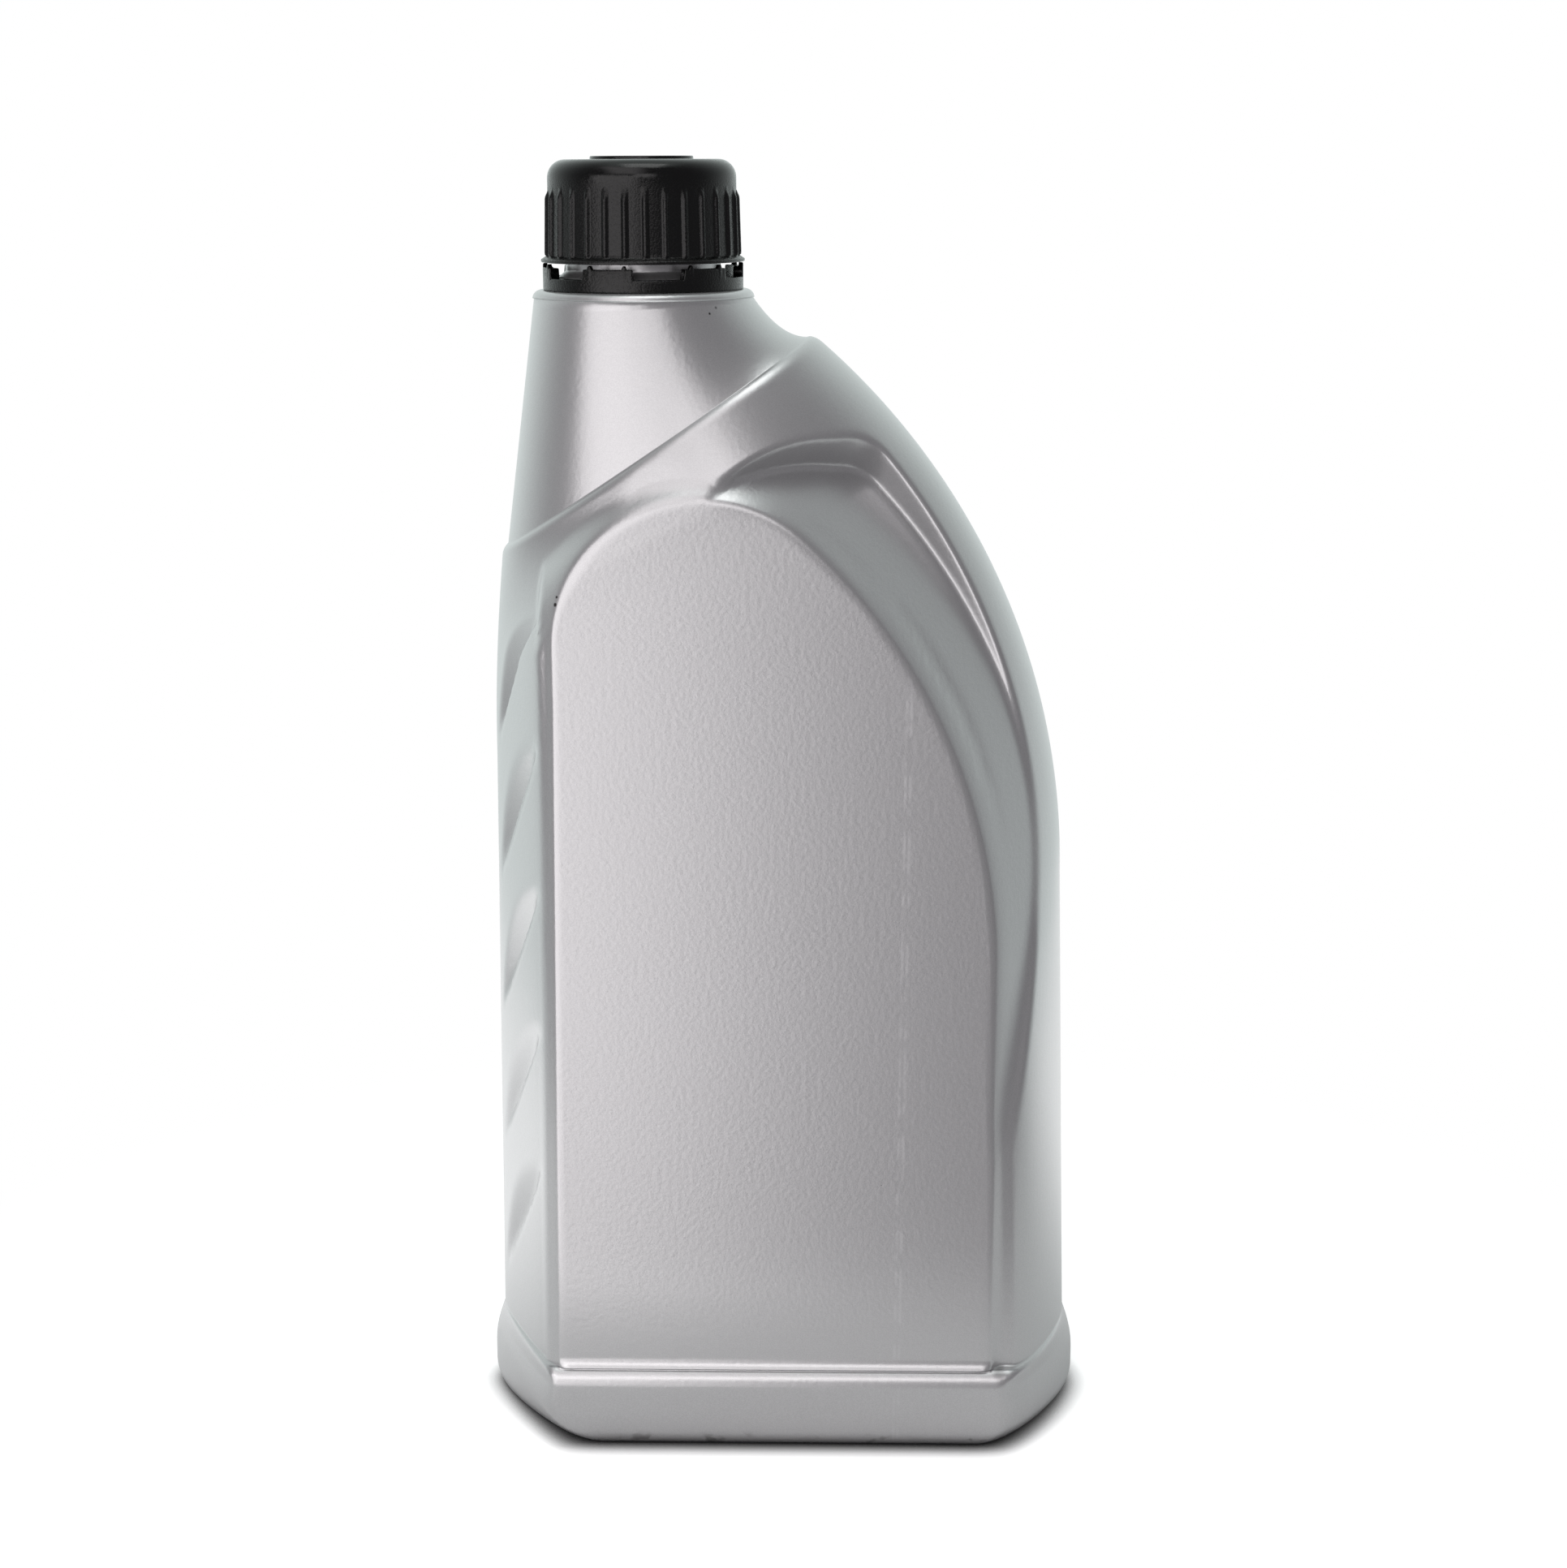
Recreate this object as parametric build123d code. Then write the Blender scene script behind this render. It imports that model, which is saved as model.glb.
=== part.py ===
from build123d import *
import os
from math import cos, pi, radians, sin, sqrt, tan

# A one litre engine oil bottle: a blown body, a screw cap, its tamper ring and its liner.
# Millimetres, +Z up, +X towards the grip spine, -Y towards the front panel.
# The origin is under the middle of the foot.

# Trunk, seen from the front
waist_height = 17.5
waist_half_width = 58.1
shoulder_tip_height = 216.7
shoulder_fall = 40.7
left_lean_length = 41.0
left_draft = 1.7
left_bend_radius = 330.0
spine_rise = 105.7
spine_draft = 2.3
spine_radius = 138.0

# Trunk, seen from above
trunk_half_depth = 29.4
shoulder_thinning = 2.8
flank_reach = 12.3
left_flank_fullness = 0.18
right_flank_fullness = 0.32
round_fullness = 0.5523
shoulder_flat = 1.0

# How the trunk's sections go over to the shoulder, as shares of its height
left_round_start = 0.62
right_round_start = 0.42
thinning_start = 0.78
left_round_ease = 2.0
right_round_ease = 1.4
section_crowding = 1.7
trunk_sections = 12

# Foot band and the hollow under it
foot_bulge_height = 8.5
foot_side_bulge = 2.0
foot_front_bulge = 3.6
foot_edge_radius = 4.5
foot_flank_reach = 20.0
foot_flank_fullness = 0.4
foot_arc_steps = 3
push_up_margin = 9.0
push_up_depth = 2.5

# Shoulder cone, collar and neck
neck_inset = 32.3
collar_rise = 8.5
collar_ledge = 2.1
collar_edge = 1.5
collar_overhang = 0.3
collar_taper = 1.0
shoulder_step = 1.2
flare_reach = 5.2
neck_sections = 6
neck_radius = 14.8
neck_wall = 2.1
neck_length = 21.2
bead_depth = 1.9
bead_height = 1.4
bore_overlap = 1.0

# Wall of the blown body
body_wall = 1.0

# Label panels
panel_rise = 1.6
panel_left_land = 2.6
panel_right_land = 1.6
panel_foot_overlap = 3.0
panel_corner_radius = 28.0
panel_flank_radius = 112.5
panel_flank_drop = 12.5
panel_bevel_depth = 3.6
panel_skirt_depth = 8.0
panel_bevel_angle = 40.0

# Grip recesses beside the panels
grip_floor_angle = 35.0
grip_wall_angle = 45.0
grip_depth = 13.0
grip_rim = 5.0
grip_top_distance = 21.0
grip_corner_radius = 7.0
grip_end_rise = 13.5
grip_fade = 4.0
grip_overrun = 2.0
grip_undercut = 5.5

# Finger notches down the left edge
notch_count = 5
notch_first_rise = 26.0
notch_top_margin = 20.9
notch_depth = 2.0
notch_length = 40.0
notch_width = 6.5
notch_slant = 49.5

# Screw cap
thread_depth = 1.2
cap_wall = 1.8
cap_top_wall = 1.8
cap_taper = 0.3
cap_crown_height = 12.6
cap_edge_radius = 3.4
flange_overhang = 1.2
flange_thickness = 1.2
cap_disc_radius = 9.8
cap_disc_height = 0.6
rib_count = 30
rib_width = 1.0
rib_height = 0.6

# Tamper ring
ring_height = 4.3
ring_wall = 1.9
ring_lip_height = 1.3
window_count = 6
window_angle = 30.0
window_start = -2.0
window_depth = 1.9
bridge_inset_angle = 4.5
bridge_width = 0.8

# Liner disc
wad_thickness = 1.2

# Clearances
thread_clearance = 0.4
wad_clearance = 0.3
bead_clearance = 0.5
lip_clearance = 0.5
ring_gap = 0.9
bridge_clearance = 0.2

# Worked out from the sizes above: heights and outline of the trunk
shoulder_left_height = shoulder_tip_height - shoulder_fall
left_bend_height = shoulder_left_height - left_lean_length
left_bend_half_width = waist_half_width - left_draft
spine_bend_height = shoulder_tip_height - spine_rise
spine_bend_half_width = waist_half_width - spine_draft
spine_centre = (spine_bend_half_width - spine_radius, spine_bend_height)

# Worked out: panels, grips and notches
panel_half_depth = trunk_half_depth + panel_rise
panel_left = flank_reach + panel_left_land - left_bend_half_width
panel_right = spine_bend_half_width - flank_reach - panel_right_land
panel_bottom = waist_height - panel_foot_overlap
panel_flank_height = spine_bend_height - panel_flank_drop
grip_reference = panel_half_depth - grip_depth
grip_end_height = panel_flank_height + grip_end_rise
grip_slope = tan(radians(grip_wall_angle))
notch_first_height = waist_height + notch_first_rise
notch_pitch = (shoulder_left_height - notch_top_margin - notch_first_height) / (notch_count - 1)

# Worked out: neck, ring and cap
neck_offset = neck_inset - waist_half_width
neck_axis = Axis((neck_offset, 0, 0), (0, 0, 1))
bore_radius = neck_radius - neck_wall
bead_radius = neck_radius + bead_depth
ring_inner_radius = bead_radius + bead_clearance
ring_radius = ring_inner_radius + ring_wall
collar_radius = ring_radius + collar_ledge
collar_height = shoulder_tip_height + collar_rise
rim_height = collar_height + neck_length
ring_top = collar_height + ring_height
cap_inner_radius = neck_radius + thread_depth + thread_clearance
cap_radius = cap_inner_radius + cap_wall
cap_crown_radius = cap_radius - cap_taper
flange_radius = cap_radius + flange_overhang
cap_base = ring_top + ring_gap
cap_ceiling = rim_height + wad_thickness
cap_top = cap_ceiling + cap_top_wall


def left_edge(height):
    """X of the left outline: a straight draft, then a long arc that leans in."""
    if height < left_bend_height:
        share = (height - waist_height) / (left_bend_height - waist_height)
        return -(waist_half_width + share * (left_bend_half_width - waist_half_width))
    rise = height - left_bend_height
    return -(left_bend_half_width - left_bend_radius + sqrt(left_bend_radius**2 - rise**2))


def right_edge(height):
    """X of the spine: a straight draft, then the grip arc up to the shoulder tip."""
    if height < spine_bend_height:
        share = (height - waist_height) / (spine_bend_height - waist_height)
        return waist_half_width + share * (spine_bend_half_width - waist_half_width)
    rise = height - spine_bend_height
    return spine_centre[0] + sqrt(spine_radius**2 - rise**2)


def section_wire(left, right, half_depth, left_reach, right_reach, left_full, right_full):
    """Closed outline between two (x, z) points: a flat front and back, arched flanks.

    Each flank is two cubic arcs from its vertex. Fullness 0 draws them straight.
    """
    length = sqrt((right[0] - left[0])**2 + (right[1] - left[1])**2)
    along = Vector((right[0] - left[0]) / length, 0, (right[1] - left[1]) / length)
    start = Vector(left[0], 0, left[1])

    def at(distance, depth):
        return start + along * distance + Vector(0, depth, 0)

    def arc(corner, vertex, depth, full):
        return [at(corner, depth), at(corner + full * (vertex - corner), depth),
                at(vertex, full * depth), at(vertex, 0)]

    right_corner = length - right_reach
    edges = [
        Line(at(left_reach, -half_depth), at(right_corner, -half_depth)),
        Bezier(*arc(right_corner, length, -half_depth, right_full)),
        Bezier(*arc(right_corner, length, half_depth, right_full)[::-1]),
        Line(at(right_corner, half_depth), at(left_reach, half_depth)),
        Bezier(*arc(left_reach, 0, half_depth, left_full)),
        Bezier(*arc(left_reach, 0, -half_depth, left_full)[::-1]),
    ]
    return Wire(edges)


def share_past(start, share):
    """How far share lies between start and 1, and 0 before start."""
    return max(0.0, (share - start) / (1 - start))


def trunk_form(inset):
    """The trunk as a fan of sections that tilt up to the plane of the sloping shoulder."""
    tilt_run = right_edge(shoulder_tip_height) - left_edge(shoulder_left_height)
    tilt_rise = shoulder_tip_height - shoulder_left_height
    drop = inset * sqrt(tilt_run**2 + tilt_rise**2) / tilt_run
    sections = []
    for step in range(trunk_sections + 1):
        share = 1 - (1 - step / trunk_sections)**section_crowding
        left_height = waist_height + share * (shoulder_left_height - drop - waist_height)
        right_height = waist_height + share * (shoulder_tip_height - drop - waist_height)
        left_ease = share_past(left_round_start, share)**left_round_ease
        right_ease = share_past(right_round_start, share)**right_round_ease
        depth_ease = share_past(thinning_start, share)**left_round_ease
        left = (left_edge(left_height) + inset, left_height)
        right = (right_edge(right_height) - inset, right_height)
        length = sqrt((right[0] - left[0])**2 + (right[1] - left[1])**2)
        full_reach = (length - shoulder_flat) / 2
        half_depth = trunk_half_depth - depth_ease * shoulder_thinning
        shrink = 1 - inset / half_depth
        left_reach = shrink * (flank_reach + left_ease * (full_reach / shrink - flank_reach))
        right_reach = shrink * (flank_reach + right_ease * (full_reach / shrink - flank_reach))
        left_full = left_flank_fullness + left_ease * (round_fullness - left_flank_fullness)
        right_full = right_flank_fullness + right_ease * (round_fullness - right_flank_fullness)
        sections.append((left, right, half_depth - inset, left_reach, right_reach,
                         left_full, right_full))
    return Solid.make_loft([section_wire(*section) for section in sections]), sections[-1]


def foot_form(inset):
    """The foot band: a bulge between the waist and a rounded bottom edge, hollow underneath."""
    edge = foot_edge_radius - inset
    wires = []

    def ring_at(height, side, front):
        share = (waist_height - height) / waist_height
        half_width = waist_half_width + side - inset
        half_depth = trunk_half_depth + front - inset
        shrink = 1 - inset / trunk_half_depth
        reach = shrink * (flank_reach + share * (foot_flank_reach - flank_reach))
        left_full = left_flank_fullness + share * (foot_flank_fullness - left_flank_fullness)
        right_full = right_flank_fullness + share * (foot_flank_fullness - right_flank_fullness)
        wires.append(section_wire((-half_width, height), (half_width, height), half_depth,
                                  reach, reach, left_full, right_full))

    for step in range(foot_arc_steps + 1):
        angle = step / foot_arc_steps * pi / 2
        tuck = edge * (1 - sin(angle))
        ring_at(inset + edge * (1 - cos(angle)), foot_side_bulge - tuck, foot_front_bulge - tuck)
    for step in range(foot_arc_steps + 1):
        share = step / foot_arc_steps
        height = foot_bulge_height + share * (waist_height - foot_bulge_height)
        swell = cos(share * pi / 2)
        ring_at(height, foot_side_bulge * swell, foot_front_bulge * swell)
    foot = Solid.make_loft(wires)

    half_width = waist_half_width + foot_side_bulge - foot_edge_radius - push_up_margin + inset
    half_depth = trunk_half_depth + foot_front_bulge - foot_edge_radius - push_up_margin + inset
    hollow = []
    for height, tuck in ((0.0, 0.0), (push_up_depth + inset, push_up_depth)):
        width = half_width - tuck
        hollow.append(section_wire((-width, height), (width, height), half_depth - tuck,
                                   foot_flank_reach, foot_flank_reach,
                                   round_fullness, round_fullness))
    return foot - Solid.make_loft(hollow, ruled=True)


def neck_form(inset, shoulder):
    """The cone above the shoulder step: sections that turn level at the collar."""
    left, right, half_depth = shoulder[:3]
    length = sqrt((right[0] - left[0])**2 + (right[1] - left[1])**2)
    along = ((right[0] - left[0]) / length, (right[1] - left[1]) / length)
    base_left = (left[0] + shoulder_step * along[0], left[1] + shoulder_step * along[1])
    base_right = (right[0] - shoulder_step * along[0], right[1] - shoulder_step * along[1])
    radius = collar_radius - collar_overhang - inset
    top = collar_height - collar_edge - inset
    wires = []
    for step in range(neck_sections + 1):
        share = step / neck_sections
        rest = 1 - share
        cone_left = (rest * base_left[0] + share * (neck_offset - radius),
                     rest * base_left[1] + share * top)
        bend = (base_right[0] - flare_reach, base_right[1])
        cone_right = tuple(rest**2 * base_right[i] + 2 * share * rest * bend[i]
                           + share**2 * (neck_offset + radius, top)[i] for i in range(2))
        reach = (sqrt((cone_right[0] - cone_left[0])**2 + (cone_right[1] - cone_left[1])**2)
                 - shoulder_flat) / 2
        depth = rest * (half_depth - shoulder_step) + share * radius
        wires.append(section_wire(cone_left, cone_right, depth, reach, reach,
                                  round_fullness, round_fullness))
    return Solid.make_loft(wires)


def panel_wire(depth, shrink):
    """Outline of the label panel in the plane y = -depth, drawn in by shrink."""
    left = panel_left + shrink
    right = panel_right - shrink
    corner_radius = panel_corner_radius - shrink
    flank_radius = panel_flank_radius - shrink
    corner_x = panel_left + panel_corner_radius
    flank_x = panel_right - panel_flank_radius
    between = panel_flank_radius - panel_corner_radius
    corner_z = panel_flank_height + sqrt(between**2 - (corner_x - flank_x)**2)
    ux = (corner_x - flank_x) / between
    uz = (corner_z - panel_flank_height) / between

    def at(x, z):
        return Vector(x, -depth, z)

    joint = at(corner_x + corner_radius * ux, corner_z + corner_radius * uz)
    top = at(corner_x, corner_z + corner_radius)
    # The middle of the flank arc halves the angle between the joint and the right edge.
    half_x = sqrt((1 + ux) / 2)
    half_z = sqrt((1 - ux) / 2)
    middle = at(flank_x + flank_radius * half_x, panel_flank_height + flank_radius * half_z)
    edges = [
        Line(at(left, panel_bottom), at(left, corner_z)),
        ThreePointArc(at(left, corner_z), top, joint),
        ThreePointArc(joint, middle, at(right, panel_flank_height)),
        Line(at(right, panel_flank_height), at(right, panel_bottom)),
        Line(at(right, panel_bottom), at(left, panel_bottom)),
    ]
    return Wire(edges)


def panel_form(inset):
    """The raised panel: its flat face, the bevel round it and a skirt sunk into the trunk."""
    slope = tan(radians(panel_bevel_angle))
    face_shrink = inset * tan(radians(90 - panel_bevel_angle) / 2)
    front = panel_half_depth - inset
    back = front - panel_bevel_depth
    back_shrink = face_shrink - panel_bevel_depth * slope
    return Solid.make_loft([panel_wire(front, face_shrink), panel_wire(back, back_shrink),
                            panel_wire(back - panel_skirt_depth, back_shrink)], ruled=True)


def grip_wire(depth, inset):
    """Outline of the grip recess in the plane y = -depth, wider further out."""
    spread = (depth - grip_reference) * grip_slope + inset * sqrt(1 + grip_slope**2)
    distance = grip_top_distance - spread
    radius = spine_radius - grip_rim + spread
    corner = grip_corner_radius + spread
    tip = (right_edge(shoulder_tip_height), shoulder_tip_height)
    run = tip[0] - left_edge(shoulder_left_height)
    rise = shoulder_tip_height - shoulder_left_height
    slant = sqrt(run**2 + rise**2)
    tx, tz = run / slant, rise / slant
    nx, nz = tz, -tx
    # The corner arc touches the top line and the spine arc from inside.
    base_x = tip[0] + (distance + corner) * nx - spine_centre[0]
    base_z = tip[1] + (distance + corner) * nz - spine_centre[1]
    across = base_x * tx + base_z * tz
    slide = sqrt(across**2 - base_x**2 - base_z**2 + (radius - corner)**2) - across
    cx, cz = base_x + slide * tx, base_z + slide * tz
    reach = radius / (radius - corner)

    def at(x, z):
        return Vector(spine_centre[0] + x, -depth, spine_centre[1] + z)

    on_line = (cx - corner * nx, cz - corner * nz)
    on_arc = (cx * reach, cz * reach)
    bow = (cx / (radius - corner) - nx, cz / (radius - corner) - nz)
    bow_length = sqrt(bow[0]**2 + bow[1]**2)
    on_corner = (cx + corner * bow[0] / bow_length, cz + corner * bow[1] / bow_length)
    end = (radius, 0)
    low_z = waist_height - spine_centre[1]
    half = ((on_arc[0] + end[0]) / 2, (on_arc[1] + end[1]) / 2)
    half_length = sqrt(half[0]**2 + half[1]**2)
    on_spine = (half[0] * radius / half_length, half[1] * radius / half_length)
    inner_x = panel_left + panel_corner_radius - inset - spine_centre[0]
    line_share = (inner_x - on_line[0]) / tx
    line_end = (inner_x, on_line[1] + line_share * tz)
    edges = [
        Line(at(*line_end), at(*on_line)),
        ThreePointArc(at(*on_line), at(*on_corner), at(*on_arc)),
        ThreePointArc(at(*on_arc), at(*on_spine), at(*end)),
        Line(at(*end), at(radius, low_z)),
        Line(at(radius, low_z), at(inner_x, low_z)),
        Line(at(inner_x, low_z), at(*line_end)),
    ]
    return Wire(edges)


def grip_form(inset):
    """What the grip recess takes away: a sloping pocket less the ramp round the panel.

    A slanted block fills the pocket's lower end, so that the recess fades out there.
    """
    slope = tan(radians(grip_floor_angle))
    lean = inset * (sqrt(1 + slope**2) - slope)
    outer = panel_half_depth + grip_overrun
    inner = grip_reference - grip_undercut - inset
    pocket = Solid.make_loft([grip_wire(depth, inset) for depth in (outer, inner)], ruled=True)
    ramp_depths = (outer + grip_overrun, inner - grip_overrun)
    ramp = Solid.make_loft([panel_wire(depth, lean - (panel_half_depth - inset - depth) * slope)
                            for depth in ramp_depths], ruled=True)
    end_lift = inset * sqrt(1 + grip_fade**2)
    left = panel_left - grip_overrun
    low = waist_height - grip_overrun
    block_outline = [(left, -depth, grip_end_height - grip_fade * (depth - grip_reference) - end_lift)
                     for depth in ramp_depths]
    block_outline += [(left, -depth, low) for depth in ramp_depths[::-1]]
    block = extrude(make_face(Polyline(block_outline, close=True)),
                    waist_half_width + grip_overrun - left, dir=(1, 0, 0))
    return pocket - ramp - block


def notch_form(height, inset):
    """What one finger notch takes away: a slice of a wide cone, flat on its lower side."""
    half_lip = notch_length / 2
    radius = (half_lip**2 + notch_depth**2) / (2 * notch_depth)
    slope = notch_depth / notch_width
    edge = left_edge(height)
    flank = sqrt(flank_reach**2 + trunk_half_depth**2)
    across = Vector(-flank_reach / flank, trunk_half_depth / flank, 0)
    outward = Vector(-trunk_half_depth / flank, -flank_reach / flank, 0)
    share = (4 + 3 * left_flank_fullness) / 8
    middle = Vector(edge + flank_reach * (1 - share), -trunk_half_depth * share, height)
    lip = across * cos(radians(notch_slant)) - Vector(0, 0, sin(radians(notch_slant)))
    rise = across * sin(radians(notch_slant)) + Vector(0, 0, cos(radians(notch_slant)))
    centre = middle + outward * (radius - notch_depth - inset) - rise * inset
    base = Plane(centre, x_dir=lip, z_dir=rise)
    thickness = 2 * notch_width
    return base * Cone(radius, radius - slope * thickness, thickness,
                       align=(Align.CENTER, Align.CENTER, Align.MIN))


def body_form(inset):
    """The whole blown form, drawn in by inset all over."""
    trunk, shoulder = trunk_form(inset)
    body = trunk + foot_form(inset) + neck_form(inset, shoulder)
    panel = panel_form(inset)
    body = body + panel + mirror(panel, about=Plane.XZ)
    grip = grip_form(inset)
    body = body - grip - mirror(grip, about=Plane.XZ)
    for step in range(notch_count):
        notch = notch_form(notch_first_height + step * notch_pitch, inset)
        body = body - notch - mirror(notch, about=Plane.XZ)
    return body


def turned(points):
    """A solid turned round the neck from (radius, height) points."""
    outline = Polyline([(neck_offset + radius, 0, height) for radius, height in points], close=True)
    return revolve(make_face(outline), neck_axis)


def make_bottle():
    """The hollow body with its collar, neck and retaining bead."""
    base = collar_height - collar_edge
    bow = collar_edge * sqrt(0.5)
    collar_base = base - collar_taper
    collar = turned([(0, collar_base), (collar_radius - 2 * collar_overhang, collar_base),
                     (collar_radius, base),
                     (collar_radius - collar_edge + bow, base + bow),
                     (collar_radius - collar_edge, collar_height), (0, collar_height)])
    bead_base = collar_height + ring_lip_height + lip_clearance
    bead_top = bead_base + bead_height
    neck = turned([(0, collar_height), (neck_radius, collar_height), (neck_radius, bead_base),
                   (bead_radius, bead_base), (bead_radius, bead_base + bead_height / 3),
                   (neck_radius, bead_top), (neck_radius, rim_height), (0, rim_height)])
    bore_base = base - body_wall - bore_overlap
    bore = turned([(0, bore_base), (bore_radius, bore_base), (bore_radius, rim_height),
                   (0, rim_height)])
    return body_form(0) + collar + neck - body_form(body_wall) - bore


def make_cap():
    """The cap: skirt with grip ribs, bottom flange, rounded crown with a raised disc."""
    crown = cap_base + cap_crown_height
    skirt_base = cap_base + flange_thickness
    edge = cap_top - cap_edge_radius
    bow = cap_edge_radius * sqrt(0.5)
    shoulder = cap_crown_radius - cap_edge_radius
    outline = [
        Line((cap_inner_radius, cap_base), (flange_radius, cap_base)),
        Line((flange_radius, cap_base), (flange_radius, cap_base + flange_thickness / 2)),
        Line((flange_radius, cap_base + flange_thickness / 2), (cap_radius, skirt_base)),
        Line((cap_radius, skirt_base), (cap_crown_radius, crown)),
        Line((cap_crown_radius, crown), (cap_crown_radius, edge)),
        ThreePointArc((cap_crown_radius, edge), (shoulder + bow, edge + bow), (shoulder, cap_top)),
        Line((shoulder, cap_top), (cap_disc_radius, cap_top)),
        Line((cap_disc_radius, cap_top), (cap_disc_radius, cap_top + cap_disc_height)),
        Line((cap_disc_radius, cap_top + cap_disc_height), (0, cap_top + cap_disc_height)),
        Line((0, cap_top + cap_disc_height), (0, cap_ceiling)),
        Line((0, cap_ceiling), (cap_inner_radius, cap_ceiling)),
        Line((cap_inner_radius, cap_ceiling), (cap_inner_radius, cap_base)),
    ]
    section = Plane((neck_offset, 0, 0), x_dir=(1, 0, 0), z_dir=(0, -1, 0)) * make_face(outline)
    cap = revolve(section, neck_axis)
    length = crown - skirt_base
    lean = (cap_radius - cap_crown_radius) / length
    root = cap_radius - cap_wall / 2
    rib_foot = skirt_base - flange_thickness / 4
    rib_end = crown + rib_height
    profile = Polyline([(root, rib_foot), (cap_radius + rib_height, rib_foot),
                        (cap_radius + rib_height - lean * length, crown - rib_height),
                        (cap_crown_radius - rib_height / 4, rib_end), (root, rib_end)], close=True)
    blade = Plane((neck_offset, 0, 0), x_dir=(1, 0, 0), z_dir=(0, -1, 0)) * make_face(profile)
    rib = extrude(blade, rib_width / 2, both=True)
    ribs = [rib.rotate(neck_axis, step * 360 / rib_count) for step in range(rib_count)]
    return cap + ribs


def make_ring():
    """The tamper ring: a lip under the bead, six windows and the stubs of its bridges."""
    lip_radius = neck_radius + lip_clearance
    lip_top = collar_height + ring_lip_height
    ring = turned([(lip_radius, collar_height), (ring_radius, collar_height),
                   (ring_radius, ring_top), (ring_inner_radius, ring_top),
                   (ring_inner_radius, lip_top),
                   (lip_radius, lip_top)])
    pitch = 360 / window_count
    block = pitch - window_angle
    cutter_outline = [(ring_inner_radius - ring_wall, ring_top - window_depth),
                      (ring_radius + ring_wall, ring_top - window_depth),
                      (ring_radius + ring_wall, ring_top + window_depth),
                      (ring_inner_radius - ring_wall, ring_top + window_depth)]
    sketch = Polyline([(neck_offset + radius, 0, height) for radius, height in cutter_outline],
                      close=True)
    window = revolve(make_face(sketch), neck_axis, window_angle)
    stub_height = ring_gap - bridge_clearance
    stub_radius = ring_radius - ring_wall / 2
    for step in range(window_count):
        start = -90 + window_start + step * pitch
        ring = ring - window.rotate(neck_axis, start)
        for inside in (bridge_inset_angle, block - bridge_inset_angle):
            stub = Pos(neck_offset + stub_radius, 0, ring_top) * Box(
                ring_wall / 2, bridge_width, stub_height,
                align=(Align.CENTER, Align.CENTER, Align.MIN))
            ring = ring + stub.rotate(neck_axis, start + window_angle + inside)
    return ring


def make_wad():
    """The liner disc between the rim of the neck and the ceiling of the cap."""
    radius = cap_inner_radius - wad_clearance
    return turned([(0, rim_height), (radius, rim_height), (radius, cap_ceiling), (0, cap_ceiling)])


os.makedirs("parts", exist_ok=True)
export_step(make_bottle(), "parts/bottle.step")
export_step(make_cap(), "parts/screw_cap.step")
export_step(make_ring(), "parts/tamper_ring.step")
export_step(make_wad(), "parts/seal_wad.step")
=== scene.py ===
# %% [markdown]
# An oil bottle is three mouldings: a blown body, a screw cap and the tamper ring under it.
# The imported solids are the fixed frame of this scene. The finer surfaces are worked out here
# as numpy grids in the same coordinates, so every piece lands where its solid is.

import bmesh
import bpy
import numpy as np
from mathutils import Matrix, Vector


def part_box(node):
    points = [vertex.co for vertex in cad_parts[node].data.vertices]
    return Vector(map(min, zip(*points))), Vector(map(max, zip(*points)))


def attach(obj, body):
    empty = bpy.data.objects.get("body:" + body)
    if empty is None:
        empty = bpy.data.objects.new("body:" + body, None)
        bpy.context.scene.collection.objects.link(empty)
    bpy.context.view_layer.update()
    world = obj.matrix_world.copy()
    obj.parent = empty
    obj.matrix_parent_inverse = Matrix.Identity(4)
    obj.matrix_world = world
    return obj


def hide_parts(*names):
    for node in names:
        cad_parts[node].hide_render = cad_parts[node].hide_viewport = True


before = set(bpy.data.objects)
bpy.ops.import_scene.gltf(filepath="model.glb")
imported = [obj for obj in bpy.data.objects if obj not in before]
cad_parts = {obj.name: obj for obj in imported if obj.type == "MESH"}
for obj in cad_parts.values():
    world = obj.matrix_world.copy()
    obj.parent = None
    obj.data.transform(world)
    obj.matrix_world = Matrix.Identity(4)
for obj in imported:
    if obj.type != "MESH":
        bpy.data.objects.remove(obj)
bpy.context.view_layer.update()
METRE = 0.001

# %% [markdown]
# The camera comes first, because everything is seen through it. The photograph was taken
# from half a metre away and a little above the bottle, so its perspective is strong. The place
# and the turns below bring the foot, the shoulder and the cap onto their places in the picture.
# Angles could be typed into the camera, but axes worked out once also serve the lamps.

# %% Camera
camera_place = (0.01399, -0.51465, 0.24858)
camera_turn, camera_tip, camera_roll = np.radians((-1.491, 13.173, -0.231))
focal_pixels = 3269.56
photo_width = 1931
sensor_width = 36.0

ahead = np.array((np.sin(camera_turn) * np.cos(camera_tip),
                  np.cos(camera_turn) * np.cos(camera_tip), -np.sin(camera_tip)))
level = np.array((np.cos(camera_turn), -np.sin(camera_turn), 0.0))
upright = np.cross(level, ahead)
camera_right = np.cos(camera_roll) * level + np.sin(camera_roll) * upright
camera_up = np.cos(camera_roll) * upright - np.sin(camera_roll) * level


def stand(thing, place, right, up, back):
    """Puts a camera or a lamp at a place, with its three axes along right, up and back."""
    axes = Matrix(np.column_stack((right, up, back)).tolist()).to_4x4()
    thing.matrix_world = Matrix.Translation(place) @ axes
    bpy.context.scene.collection.objects.link(thing)


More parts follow.
